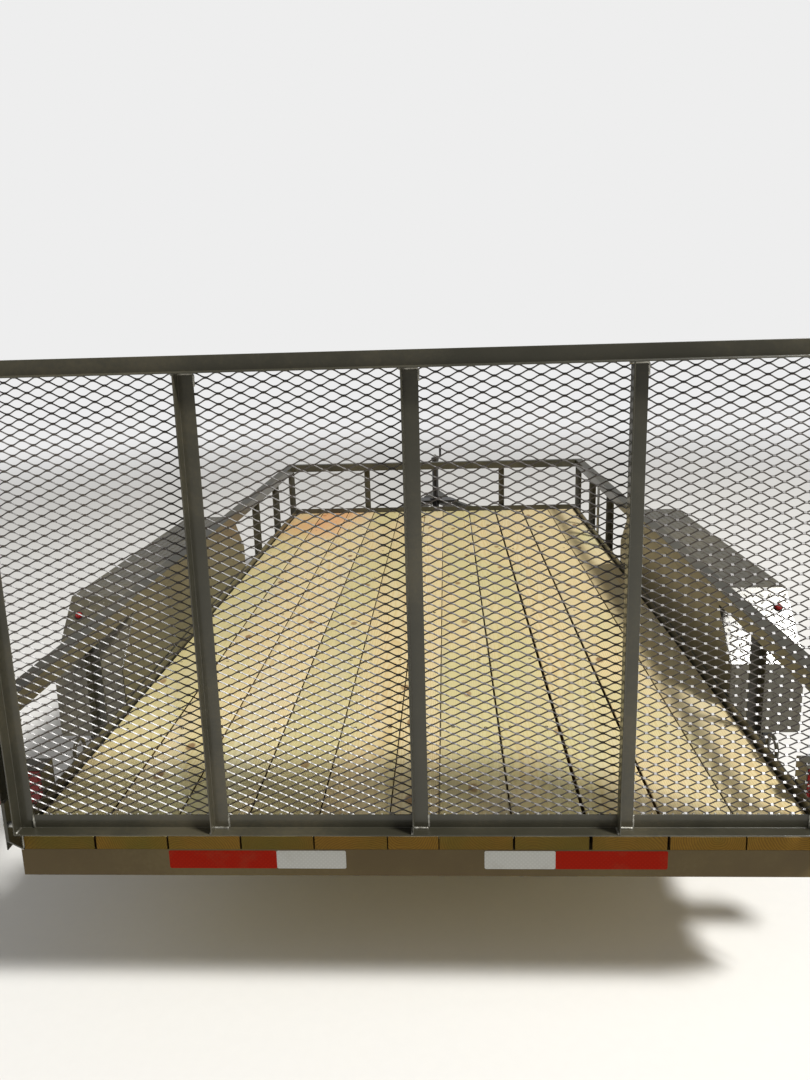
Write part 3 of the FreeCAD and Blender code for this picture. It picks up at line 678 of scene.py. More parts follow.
# Reflective tape on the rear crossmember: white inside, red outside

tapeSizes = {
    "red": ((-0.633, -0.354), (0.354, 0.633)),
    "white": ((-0.354, -0.176), (0.176, 0.354)),
    "low": 0.397,
    "high": 0.448,
    "thick": 0.0004,
    "corner": 0.003,
}


def reflectiveTape(sizes):
    cut, low, high = sizes["corner"], sizes["low"], sizes["high"]
    for colour in ("red", "white"):
        form = Form()
        for x0, x1 in sizes[colour]:
            outline = [(x0, low + cut), (x0 + cut, low), (x1 - cut, low), (x1, low + cut), (x1, high - cut),
                       (x1 - cut, high), (x0 + cut, high), (x0, high - cut)]
            form.prism([(x, bedStart, z) for x, z in outline], (0, -sizes["thick"], 0))
        form.piece(colour + "Tape", colour + "Tape", smooth=0)


reflectiveTape(tapeSizes)


# Treadplate lugs on the fenders

fenderSizes = {
    "rear": 0.7755,
    "front": 2.6045,
    "low": 0.395,
    "bend": 0.6382,
    "run": 0.2,
    "x0": 1.024,
    "x1": 1.2618,
    "pitch": 0.0262,
    "long": 0.0225,
    "wide": 0.0072,
    "high": 0.0013,
    "sunk": 0.0002,
    "bendGap": 0.014,  # bare strip beside a bend
    "edgeGap": 0.012,  # and beside an edge or the rail
    "foot": ((1, 0), (0.55, 0.8), (0, 1), (-0.55, 0.8), (-1, 0), (-0.55, -0.8), (0, -1), (0.55, -0.8)),
    "ridge": (0.62, 0.3),  # the ridge's outline, as shares of the foot's
}


def treadLugs(rear, front, low, bend, run, x0, x1, pitch, long, wide, high, sunk, bendGap, edgeGap, foot,
              ridge, side):
    form = Form()
    y0, y1 = bedY(rear), bedY(front)
    foot = [(long / 2 * p, wide / 2 * q) for p, q in foot]
    chain = [(y0, low), (y0, bend), (y0 + run, railUnder), (y1 - run, railUnder), (y1, bend), (y1, low)]
    done = 0.0
    for (ya, za), (yb, zb) in zip(chain, chain[1:]):
        length = hypot(yb - ya, zb - za)
        along = Vector((0, (yb - ya) / length, (zb - za) / length))
        out = Vector((0, -along.z, along.y))
        rows = range(int(done / pitch) + 1, int((done + length) / pitch) + 1)
        for row in rows:
            far = row * pitch - done
            if far < bendGap or far > length - bendGap:
                continue
            for column in range(int((x1 - x0) / pitch)):
                x = x0 + (column + 0.6) * pitch
                if x > x1 - edgeGap or (za == zb == railUnder and x < outerX + railLeg + edgeGap):
                    continue
                centre = Vector((side * x, ya, za)) + along * far
                lean = radians(45 if (row + column) % 2 else -45)
                a = Vector((1, 0, 0)) * cos(lean) + along * sin(lean)
                b = out.cross(a)
                base = [centre + a * p + b * q - out * sunk for p, q in foot]
                top = [centre + a * p * ridge[0] + b * q * ridge[1] + out * high for p, q in foot]
                form.loft([base, top])
        done += length
    form.piece("treadLugsRight" if side > 0 else "treadLugsLeft", "tread", smooth=50)


for side in (-1, 1):
    treadLugs(side=side, **fenderSizes)
print("treadplate made")


# Wheels: tyres with ribs and shoulder blocks, and dished rims with round windows

tyreSizes = {
    "blocks": 60,
    "ribEdges": (0.0155, 0.0235, 0.043, 0.051, 0.0785),
    "slope": 0.001,  # a groove's side, along the width
    "depth": 0.007,
    "crown": 0.344,
}


def tyreForm(sizes):
    # Side from the bead to the tread, as (radius, reach) pairs, and then half the tread
    side = [(0.1912, 0.06), (0.1985, 0.0668), (0.2078, 0.0742), (0.2125, 0.08), (0.223, 0.0868),
            (0.224, 0.0885), (0.227, 0.0893), (0.24, 0.0955), (0.256, 0.1), (0.27, 0.1014),
            (0.284, 0.1006), (0.298, 0.0976), (0.3, 0.0984), (0.304, 0.0974), (0.305, 0.0958),
            (0.315, 0.0925), (0.324, 0.0888)]
    form = Form()
    steps = sizes["blocks"] * 3  # every third one is a cut between two blocks
    a, b, c, d, edge = sizes["ribEdges"]
    slope = sizes["slope"]
    tread = [(0.0845, "shoulder"), (edge, "shoulder"), (d + slope, "shoulder"), (d, "groove"), (c, "groove"),
             (c - slope, "rib"), (b + slope, "rib"), (b, "groove"), (a, "groove"), (a - slope, "rib")]
    rings = []
    for step, t in enumerate(turns(steps)):
        cut = step % 3 == 0
        ring = list(side)
        for x, kind in tread:
            crown = sizes["crown"] - 0.0045 * (x / edge) ** 3 - (0.002 if x > 0.08 else 0)
            if kind == "groove":
                crown -= sizes["depth"]
            elif kind == "shoulder" and cut:
                crown -= sizes["depth"] * (0.9 if x > 0.06 else 0.75)
            ring.append((crown, x))
        ring += [(r, -x) for r, x in ring[::-1]]
        rings.append([(x, r * sin(t), -r * cos(t)) for r, x in ring])
    form.loft(rings, closed=True)
    return form


rimSizes = {
    "windows": 8,
    "windowCircle": 0.152,
    "windowRadius": 0.019,
    "bolts": 5,
    "boltCircle": 0.0572,
    "boltTurn": 0.3,
    "wall": 0.0045,
    "disc": (0.126, 0.1768),  # the radii that the windows' sectors fill
}


def dish(radius):
    # Reach of the disc's outer face: foot, crown and the edge that meets the barrel
    marks = [(0.0, 0.0), (0.072, 0.0), (0.08, 0.0015), (0.098, 0.013), (0.112, 0.0215), (0.122, 0.0238),
             (0.135, 0.0222), (0.152, 0.0172), (0.17, 0.0118), (0.1865, 0.0078)]
    return float(np.interp(radius, *zip(*marks)))


def rimForm(sizes):
    form = Form()
    wall = sizes["wall"]
    # Barrel: outside, then back along the inside
    edge = [(0.2076, 0.0755), (0.2055, 0.076), (0.203, 0.0745), (0.195, 0.066), (0.1905, 0.062),
            (0.19, 0.045)]
    drop = [(0.178, 0.034), (0.1765, 0.02), (0.1765, -0.018), (0.178, -0.032)]
    barrel = edge + drop + [(r, -x) for r, x in edge[::-1]]
    inside = [(r - wall, x) for r, x in barrel[::-1]]
    form.lathe(barrel + inside, (0, 0, 0), (1, 0, 0), 72, closed=True)
    # Disc with round windows, made sector by sector
    inner, outer = sizes["disc"]
    for n in range(sizes["windows"]):
        middle = 2 * pi * (n + 0.5) / sizes["windows"]
        half = pi / sizes["windows"]
        hole, edge = [], []
        for a in turns(24, 0.5):
            hole.append((middle + sizes["windowRadius"] * sin(a) / sizes["windowCircle"],
                         sizes["windowCircle"] + sizes["windowRadius"] * cos(a)))
            big = max(abs(sin(a)), abs(cos(a)))
            edge.append((middle + half * sin(a) / big,
                         (inner + outer) / 2 + (outer - inner) / 2 * cos(a) / big))
        near = [(h[0] * 0.5 + e[0] * 0.5, h[1] * 0.5 + e[1] * 0.5) for h, e in zip(hole, edge)]
        loops = [(edge, 0), (near, 0), (hole, 0), (hole, wall), (near, wall), (edge, wall)]
        form.loft([[(dish(r) - back, r * sin(t), r * cos(t)) for t, r in loop] for loop, back in loops],
                  ends=False)
    face = [(r, dish(r)) for r in (inner, 0.122, 0.112, 0.098)]
    face += [(0.088, 0.006), (0.08, 0.0015), (0.072, 0.0), (0.034, 0.0)]
    rear = [(0.034, -wall), (0.072, -wall), (0.08, 0.0015 - wall)]
    rear += [(r, dish(r) - wall) for r in (0.098, 0.112, inner)]
    form.lathe(face + rear, (0, 0, 0), (1, 0, 0), 72, closed=True)
    return form


def hubForm(sizes):
    form = Form()
    form.lathe([(0.02, -0.075), (0.037, -0.075), (0.038, -0.073), (0.038, -0.02), (0.064, -0.0165),
                (0.066, -0.015), (0.066, -0.006), (0.064, -0.0046), (0.0335, -0.0046), (0.0335, 0.012),
                (0.031, 0.014)], (0, 0, 0), (1, 0, 0), 48)
    form.lathe([(0.0335, 0.006), (0.0335, 0.0135), (0.03, 0.0145), (0.0298, 0.036), (0.0285, 0.041),
                (0.024, 0.0455), (0.012, 0.0475), (0.01, 0.0468), (0.0015, 0.0468)],
               (0, 0, 0), (1, 0, 0), 48)
    for n in range(sizes["bolts"]):
        t = 2 * pi * n / sizes["bolts"] + sizes["boltTurn"]
        place = (0, sizes["boltCircle"] * sin(t), sizes["boltCircle"] * cos(t))
        for sides, outline in ((24, ((0.0115, -0.001), (0.0128, 0.002), (0.0116, 0.0045), (0.0112, 0.006))),
                               (6, ((0.0118, 0.004), (0.0122, 0.006), (0.0122, 0.016), (0.0098, 0.0185))),
                               (16, ((0.0062, 0.0), (0.0062, 0.0225), (0.005, 0.0245)))):
            form.lathe(outline, place, (1, 0, 0), sides)
    # Valve stem through the rim, inside a window
    t = pi / sizes["windows"]
    stem = ((0.01, 0.171), (0.024, 0.165), (0.034, 0.16))
    form.tube([(x, r * sin(t), r * cos(t)) for x, r in stem], 0.0045, 12)
    return form


def fitWheels():
    kinds = (("tyre", tyreForm(tyreSizes), "rubber", "tyre_rubber"),
             ("rim", rimForm(rimSizes), "rim", "rim_paint"),
             ("hub", hubForm(rimSizes), "zinc", "zinc_steel"))
    for kind, form, finish, slot in kinds:
        shared = None
        for end in ("front", "rear"):
            for side, sign in (("left", -1), ("right", 1)):
                body = f"wheel_{end}_{side}"
                name = f"{kind}{end.capitalize()}{side.capitalize()}"
                if shared is None:
                    made = form.piece(name, finish, slot, body=body, smooth=32)
                    shared = made.data
                    made.parent = None
                else:
                    made = linked(name, shared)
                place = Vector((sign * wheelX, axleY[end], axleZ))
                facing = Matrix.Rotation(0 if sign > 0 else pi, 4, "Z")
                made.matrix_world = Matrix.Translation(place) @ facing
                settle(made, body, () if kind == "hub" else [f"{kind}_{end}_{side}"])


fitWheels()
print("wheels made")


# Welds: rippled beads along the joints

weldSizes = {
    "gate": 0.0036,
    "frame": 0.0042,
    "tack": 0.0022,
    "axle": 0.0034,
    "loop": 0.0028,
    "step": 0.75,  # a ripple's length, in bead sizes
    "posts": (0.0381, 0.6096, 3.048, 3.6576, 4.2672),  # side posts, as bed places
    "flatPost": (3.33, 0.0258),  # the flat one's place and half its width
    "lampPlate": (0.152, 0.218),
    "hangerPlate": (0.0285, 0.033),  # half its width and half its length
    "keeper": (0.003, 0.037),  # its ends along the bed
    "keeperHalf": 0.02,
    "stitches": (0.86, 1.2, 1.56, 1.92, 2.28, 2.5),
    "stitch": 0.04,
}


def bead(form, start, end, size):
    start, end = Vector(start), Vector(end)
    along = (end - start).normalized()
    side = along.orthogonal().normalized()
    up = along.cross(side)
    steps = max(3, int((end - start).length / (size * weldSizes["step"])) + 1)
    rings = []
    for i in range(steps + 1):
        swell = 0.55 if i in (0, steps) else (1.0 if i % 2 else 0.82)
        r = size * swell * uniform(0.9, 1.1)
        centre = start.lerp(end, i / steps) + side * uniform(-0.1, 0.1) * size
        rings.append([centre + (side * cos(t) + up * sin(t)) * r for t in turns(7)])
    form.loft(rings)


def seam(form, size, *places):
    # A straight bead. Each of x, y and z is one value, or a pair for its start and end.
    start, end = zip(*[place if isinstance(place, tuple) else (place, place) for place in places])
    bead(form, start, end, size)


def frameWelds(sizes):
    # Posts to the side members and rails, then the smaller brackets
    form = Form()
    size = sizes["frame"]
    out, edge = outerX, outerX + postLeg
    under, foot, top = railUnder - 0.001, frameBottom + 0.004, frameTop
    for row in sizes["posts"]:
        for back in (-postWall - size * 0.3, size * 0.3):
            y = bedY(row) + back
            seam(form, size, out + 0.001, y, (foot, top - 0.003))
            seam(form, size * 0.8, (out + 0.006, edge - 0.004), y, under)
        y = bedY(row)
        seam(form, size * 0.7, edge - 0.0035, (y - postLeg + 0.003, y - 0.004), under)
    ear = out - 0.008
    seam(form, size * 0.8, ear, bedY(-0.001), (boardBottom + 0.003, top - 0.002))
    seam(form, size * 0.8, (ear + 0.001, out), bedY(0.0015), boardBottom - 0.001)
    ends = tuple(bedY(y) for y in sizes["keeper"])
    for side in (-1, 1):
        seam(form, size * 0.7, out, ends, gatePlaces["latch"][1] + side * sizes["keeperHalf"])
    for y in sizes["lampPlate"]:
        seam(form, size * 0.6, out + 0.0034, bedY(y), (foot, top - 0.004))
    wide, long = sizes["hangerPlate"]
    for y in hangers:
        for side in (-1, 1):
            seam(form, size, springX + side * wide, (bedY(y - long), bedY(y + long)), frameBottom - 0.0005)
    for y in sizes["stitches"]:
        seam(form, size * 0.6, out + 0.0034, (bedY(y), bedY(y + sizes["stitch"])), top - 0.0005)
    form.both()
    y, half = sizes["flatPost"]
    for side in (-1, 1):
        seam(form, size * 0.8, out + 0.0035, bedY(y) + side * half, (foot, top - 0.003))
    form.piece("frameWelds", "weld", smooth=60)


def gateTacks(sizes):
    # Spots where the mesh is tacked to the lower and side angles
    form = Form()
    size, back = sizes["tack"], meshBack - 0.0006
    x = -gateHalf + 0.05
    while x < gateHalf - 0.045:
        if random() < 0.8:
            z = gateBottom + gateLeg + uniform(-0.0003, 0.0012)
            wide = size * uniform(0.7, 1.6)
            seam(form, size * uniform(0.8, 1.15), (x - wide, x + wide), back, z)
        x += meshSizes["long"] / 2 + uniform(-0.002, 0.002)
    for side in (-1, 1):
        x = side * (gateHalf - gateLeg)
        z = gateBottom + 0.06
        while z < gateTop - 0.05:
            seam(form, size * uniform(0.7, 1.1), x, back, (z - size, z + size))
            z += choice((2, 3, 4)) * meshSizes["short"]
    form.piece("gateTacks", "weld", body="gate", smooth=60)


def gateWelds(sizes):
    form = Form()
    size, leg, half = sizes["gate"], gateLeg, gateHalf
    front, rear = meshBack - gateWall, meshBack - leg
    foot, head = gateBottom + gateWall, gateTop - leg
    for i in range(1, gateBays):
        x = -half + i * (2 * half / gateBays)
        for z in (foot + size * 0.4, head - size * 0.4):
            seam(form, size, (x + 0.002, x + leg), (front - 0.004, front - 0.0045), z)
            seam(form, size, x - 0.001, (front - 0.002, rear + 0.002), z)
        for ends in ((foot + 0.002, foot + 0.036), (head - 0.03, head - 0.003)):
            seam(form, size * 0.9, x + leg, front - 0.001, ends)
    for sign in (-1, 1):
        x, inner = sign * (half - gateWall) - sign * 0.001, sign * (half - leg)
        seam(form, size, x, (front - 0.003, rear + 0.005), foot)
        seam(form, size * 0.6, (sign * (half - 0.001), sign * (half - leg * 0.4)), rear + 0.0035,
             (gateBottom + 0.001, gateBottom + 0.002))
        seam(form, size * 0.9, inner, front - 0.0005, (foot, gateBottom + leg))
        seam(form, size * 0.8, inner, front - 0.0005, (head + 0.001, gateTop - 0.001))
        seam(form, size, x, (front - 0.003, rear + 0.005), head + 0.001)
    form.piece("gateWelds", "weld", body="gate", smooth=60)


frameWelds(weldSizes)
gateTacks(weldSizes)
gateWelds(weldSizes)
print("welds made")


# Lights, loops and pins

markerSizes = {
    "x": 1.2178,
    "z": 0.7872,
    "lean": (0.7158, 0.6983),  # the slope's normal: along Y, and up
    "places": (("Rear", 0.9209, -1, "redLens"), ("Front", 2.4591, 1, "amberLens")),
    "grommet": ((0.0149, -0.0004), (0.015, 0.0014), (0.0143, 0.0028), (0.0128, 0.003), (0.0122, 0.0018)),
    "lens": ((0.0119, 0.001), (0.0119, 0.0066), (0.0113, 0.009), (0.0094, 0.0113), (0.0062, 0.0129),
             (0.0028, 0.0137), (0.0004, 0.0139)),
}


def markerLights(x, z, lean, places, grommet, lens):
    rubber = Form()
    for end, y, facing, finish in places:
        cover = Form()
        place = (x, bedY(y), z)
        axis = (0, facing * lean[0], lean[1])
        rubber.lathe(grommet, place, axis, 40)
        cover.lathe(lens, place, axis, 40)
        cover.both()
        cover.piece("markerLens" + end, finish, "red_lens", ["marker_lights"])
    rubber.both()
    rubber.piece("markerGrommets", "grip", "red_lens", ["marker_lights"])


lampSizes = {
    "left": 1.0245,
    "right": 1.2171,
    "low": 0.4937,
    "high": 0.5913,
    "back": 0.15,
    "corner": 0.007,
    # Inset from the edge and depth behind the face, from the body to the middle of the lens
    "steps": ((0, 0.0663), (0, 0.003), (0.0016, 0.0008), (0.0055, 0.0004), (0.007, 0.0022), (0.0085, 0.0022),
              (0.01, 0.0006), (0.022, 0.0002), (0.04, 0.0)),
    "screw": ((0.003, 0.0), (0.003, 0.0004), (0.0024, 0.001), (0.0004, 0.0012)),
    "screwInset": (0.0045, 0.0009),
}


def roundRect(left, right, low, high, corner):
    outline = []
    for x, z, first in ((right - corner, high - corner, 0), (left + corner, high - corner, 90),
                        (left + corner, low + corner, 180), (right - corner, low + corner, 270)):
        outline += arc((x, z), corner, first, first + 90, 5)
    return outline


def tailLamps(left, right, low, high, back, corner, steps, screw, screwInset):
    form, screws = Form(), Form()
    y = bedY(back)
    rings = []
    for inset, far in steps:
        outline = roundRect(left + inset, right - inset, low + inset, high - inset,
                            max(corner - inset * 0.4, 0.002))
        rings.append([(x, y + far, z) for x, z in outline])
    form.loft(rings)
    form.both()
    form.piece("tailLenses", "redLens", "red_lens", ["tail_light_lenses"])
    inset, far = screwInset
    for x in (left + inset, right - inset):
        screws.lathe(screw, (x, y + far, (low + high) / 2), (0, -1, 0), 16)
    screws.both()
    screws.piece("lensScrews", "zinc", "zinc_steel")


def bentRod(form, x, y, sizes, top, sides):
    # Two legs from the foot, joined by half a turn whose centre is at top
    bow, leg, foot = sizes["bow"], sizes["legTop"], sizes["foot"]
    path = [(y - bow, foot), (y - bow, leg)] + arc((y, top), bow, 180, 0, 20)
    path += [(y + bow, leg), (y + bow, foot)]
    form.tube([(x, a, b) for a, b in path], sizes["rod"], sides)


loopSizes = {
    "x": 1.0268,
    "y": 0.4,
    "rod": 0.006,
    "foot": 0.4551,
    "legTop": 0.49,
    "bow": 0.035,
    "bowZ": 0.5281,
}


def tieLoops(sizes):
    form, welds = Form(), Form()
    x, y, bow = sizes["x"], bedY(sizes["y"]), sizes["bow"]
    bentRod(form, x, y, sizes, sizes["bowZ"], 20)
    form.both()
    form.piece("tieLoops", "frame", replaces=["tie_loops"], smooth=50)
    for leg in (y - bow, y + bow):
        for side in (-1, 1):
            seam(welds, weldSizes["loop"], x - 0.0045, leg + side * sizes["rod"] * 0.8,
                 (sizes["foot"] + 0.002, frameTop - 0.006))
    welds.both()
    welds.piece("loopWelds", "weld", smooth=60)


pinSizes = {"hinge": 0.008, "hingeEnd": 1.0268, "latch": 0.007, "latchEnd": 1.0135}


def gatePins(sizes):
    form = Form()
    for kind, (y, z) in gatePlaces.items():
        r, end = sizes[kind], sizes[kind + "End"] - gateHalf
        collar = [(r + 0.003, -0.0004), (r + 0.002, 0.0018), (r, 0.0032)]
        tip = [(r, end - 0.0014), (r - 0.0014, end), (0.0004, end)]
        form.lathe(collar + tip, (gateHalf, y, z), (1, 0, 0), 32)
    form.both()
    form.piece("gatePins", "zinc", "zinc_steel", ["gate_pins"], "gate")


markerLights(**markerSizes)
tailLamps(**lampSizes)
tieLoops(loopSizes)
gatePins(pinSizes)
print("lights, loops and pins made")


# Running gear: axle tubes, springs, U-bolts and bolt heads

gearSizes = {
    "tube": 0.03015,
    "tubeEnd": 1.061,
    "spindle": 0.0174,
    "spindleEnd": 1.159,
    "seatHalf": 0.044,
    "arcTop": 1.19555,  # height of the centre of the leaves' bend
    "arcRadius": 0.8917,  # to the main leaf's upper face
    "leaf": 0.007,
    "leafEdge": 0.0011,
    "leafAngles": (0.3561, 0.2849, 0.2066, 0.1282),
    "taper": (0.62, 0.82, 0.96),
    "eyeY": 0.3207,
    "eyeZ": 0.3721,
    "eye": 0.015,
    "eyeBore": 0.0076,
    "clipY": 0.15,
    "clipBolt": 0.0042,  # its height over the main leaf
    "rod": 0.00635,
    "rodX": 0.0296,
    "bow": 0.0368,
    "foot": 0.247,
    "legTop": 0.3,
    "plateLow": 0.2679,
    "plateHigh": 0.2759,
    "plateX": 0.038,
    "plateY": 0.046,
    "boltX": 0.02775,  # from the spring's middle to the outside of its hanger
    "pivotZ": 0.4051,
    "shackles": ((0.08, 0.4181), (0.1113, 0.3721)),
}


def hexHead(form, place, axis, size, high):
    # Washer, then a hexagon with its corners taken off
    form.lathe([(size * 1.12, 0), (size * 1.12, high * 0.18), (size * 1.0, high * 0.22)], place, axis, 24)
    form.lathe([(size * 0.98, high * 0.15), (size, high * 0.25), (size, high * 0.86), (size * 0.86, high)],
               place, axis, 6)


def leafStrip(form, y, radius, angle, sizes):
    steps, leaf, e, half = 28, sizes["leaf"], sizes["leafEdge"], leafHalf
    rings = []
    for i in range(steps + 1):
        t = -angle + 2 * angle * i / steps
        far = min(i, steps - i)
        w = half * sizes["taper"][far] if far < len(sizes["taper"]) else half
        section = [(-w, e), (-w + e, 0), (w - e, 0), (w, e), (w, leaf - e), (w - e, leaf), (-w + e, leaf),
                   (-w, leaf - e)]
        rings.append([(springX + x, y + (radius + down) * sin(t),
                       sizes["arcTop"] - (radius + down) * cos(t)) for x, down in section])
    form.loft(rings)


def strap(form, low, high, wall, y0, y1):
    # Closed band round a pack of leaves, between two (x, z) corners
    corners = [(low[0], low[1], 1, 1), (high[0], low[1], -1, 1), (high[0], high[1], -1, -1),
               (low[0], high[1], 1, -1)]
    form.loft([[(x - wall * a, y0, z - wall * b), (x - wall * a, y1, z - wall * b), (x, y1, z), (x, y0, z)]
               for x, z, a, b in corners], closed=True)


def springs(sizes, sign):
    form = Form()
    half, x, leaf = leafHalf, springX, sizes["leaf"]
    r, bore = sizes["eye"], sizes["eyeBore"]
    high = sizes["arcTop"] - sqrt(sizes["arcRadius"] ** 2 - sizes["clipY"] ** 2)
    bolt = high + sizes["clipBolt"]
    for y in axleY.values():
        for n, angle in enumerate(sizes["leafAngles"]):
            leafStrip(form, y, sizes["arcRadius"] + n * (leaf + 0.00002), angle, sizes)
        for side in (-1, 1):
            form.lathe([(r, -half), (r, half), (r - 0.002, half), (bore, half - 0.001), (bore, -half + 0.001),
                        (r - 0.002, -half)], (x, y + side * sizes["eyeY"], sizes["eyeZ"]), (1, 0, 0), 32,
                       closed=True)
            place = y + side * sizes["clipY"]
            strap(form, (x - half - 0.0003, high - 3 * leaf - 0.0016), (x + half + 0.0003, bolt), 0.003,
                  place - 0.011, place + 0.011)
            form.lathe([(0.004, -half - 0.006), (0.004, half + 0.006)], (x, place, bolt), (1, 0, 0), 16)
    if sign < 0:
        form.points, form.faces = form.mirrored()
    side = "Right" if sign > 0 else "Left"
    form.piece("leafSprings" + side, "running", "running_gear_paint", ["leaf_springs_" + side.lower()],
               smooth=40)


def axle(end, y, sizes):
    form = Form()
    tube, spindle, reach, tip = sizes["tube"], sizes["spindle"], sizes["tubeEnd"], sizes["spindleEnd"]
    half, width, z = sizes["seatHalf"], leafHalf, axleZ
    stub = [(0.0004, tip), (0.015, tip), (spindle, tip - 0.002), (spindle, reach + 0.012),
            (0.024, reach + 0.006), (0.027, reach), (tube, reach - 0.004)]
    form.lathe([(r, -x) for r, x in stub] + stub[::-1], (0, y, z), (1, 0, 0), 48)
    # The spring's seat, its top bent as the leaf above it
    offs = [-half + 2 * half * i / 12 for i in range(13)]
    radius = sizes["arcRadius"] - 0.0002
    under = [(y + d, sizes["arcTop"] - sqrt(radius ** 2 - d * d)) for d in offs]
    outline = under + [(y + half, under[-1][1] + 0.008), (y + tube - 0.001, z - 0.006), (y + tube - 0.001, z),
                       (y - tube + 0.001, z), (y - tube + 0.001, z - 0.006), (y - half, under[0][1] + 0.008)]
    for side in (-1, 1):
        x = side * springX - width
        form.prism([(x, a, b) for a, b in outline], (2 * width, 0, 0))
    form.piece("axle" + end.capitalize(), "running", "running_gear_paint", ["axle_" + end], smooth=40)


def axleWelds(sizes):
    form = Form()
    for y in axleY.values():
        for side in (-1, 1):
            x = springX + side * (leafHalf + 0.0006)
            path = [(x, a, b) for a, b in arc((y, axleZ), sizes["tube"] + 0.001, 200, 340, 14)]
            for one, two in zip(path, path[1:]):
                bead(form, one, two, weldSizes["axle"])
    form.both()
    form.piece("axleWelds", "running", "running_gear_paint", smooth=60)


def uBolts(sizes):
    form = Form()
    middle, low = springX, sizes["plateLow"]
    wide, long = sizes["plateX"], sizes["plateY"]
    for y in axleY.values():
        plate = roundRect(middle - wide, middle + wide, y - long, y + long, 0.007)
        form.loft([[(a, b, z) for a, b in plate] for z in (low, sizes["plateHigh"])])
        form.lathe([(0.0095, 0), (0.0095, 0.006), (0.0075, 0.0085)], (middle, y, low), (0, 0, -1), 24)
        for x in (middle - sizes["rodX"], middle + sizes["rodX"]):
            bentRod(form, x, y, sizes, axleZ, 16)
            for side in (-1, 1):
                hexHead(form, (x, y + side * sizes["bow"], low), (0, 0, -1), 0.0112, 0.012)
    form.both()
    form.piece("uBolts", "zinc", "zinc_steel", ["u_bolts"], smooth=35)


def gearBolts(sizes):
    # Heads outboard and nuts inboard, at the hangers, the shackles and the equalizers' pivots
    form = Form()
    rear, middle, front = hangers
    places = [(rear, sizes["eyeZ"]), (front, sizes["eyeZ"]), (middle, sizes["pivotZ"])]
    places += [(middle + side * far, z) for side in (-1, 1) for far, z in sizes["shackles"]]
    for far, z in places:
        outer, inner = [(springX + side * sizes["boltX"], bedY(far), z) for side in (1, -1)]
        hexHead(form, outer, (1, 0, 0), 0.0105, 0.0068)
        hexHead(form, inner, (-1, 0, 0), 0.011, 0.01)
        form.lathe([(0.0068, 0), (0.0068, 0.013), (0.0056, 0.0142)], inner, (-1, 0, 0), 16)
    form.both()
    form.piece("gearBolts", "zinc", "zinc_steel", smooth=35)


for sign in (-1, 1):
    springs(gearSizes, sign)
for end, place in axleY.items():
    axle(end, place, gearSizes)
axleWelds(gearSizes)
uBolts(gearSizes)
gearBolts(gearSizes)
print("running gear made")


# Jack on its plate, and the coupler's nose

jackSizes = {
    "plate": ((-0.1856, 4.8922), (0.1856, 4.8922), (0.1156, 5.0422), (-0.1156, 5.0422)),
    "plateHeights": (0.4471, 0.4551),
    "tube": ((0.0222, 0.33), (0.0254, 0.3305), (0.0254, 0.4551), (0.0466, 0.4551), (0.0474, 0.456),
             (0.0474, 0.4622), (0.0466, 0.4631), (0.0284, 0.4631), (0.0262, 0.466), (0.0254, 0.469),
             (0.0254, 0.764), (0.029, 0.765), (0.0304, 0.7668), (0.0304, 0.785), (0.0292, 0.7895),
             (0.0255, 0.7928), (0.018, 0.7945), (0.0004, 0.795)),
    "bore": ((0.0222, 0.33), (0.0222, 0.759), (0.0004, 0.759)),
    "leg": ((0.0184, 0.48), (0.0214, 0.4795), (0.0214, 0.013), (0.026, 0.009), (0.06, 0.008),
            (0.062, 0.0065), (0.062, 0.0012), (0.0608, 0.0), (0.0004, 0.0)),
    "legBore": ((0.0184, 0.48), (0.0184, 0.008), (0.0004, 0.008)),
    "bolts": 3,
    "boltCircle": 0.037,
    "boltZ": 0.4629,
    "hub": ((0.0095, 0.7946), (0.0095, 0.816), (0.0085, 0.8172), (0.0004, 0.8175)),
    "turn": radians(21),
    "arm": 0.12,
    "armZ": 0.8085,
    "bend": 0.012,
    "rise": 0.0985,
    "rod": 0.0052,
    "grip": ((0.0056, 0.8185), (0.008, 0.819), (0.009, 0.821), (0.0084, 0.84), (0.0088, 0.864),
             (0.0084, 0.888), (0.009, 0.905), (0.0078, 0.908), (0.0004, 0.9085)),
}


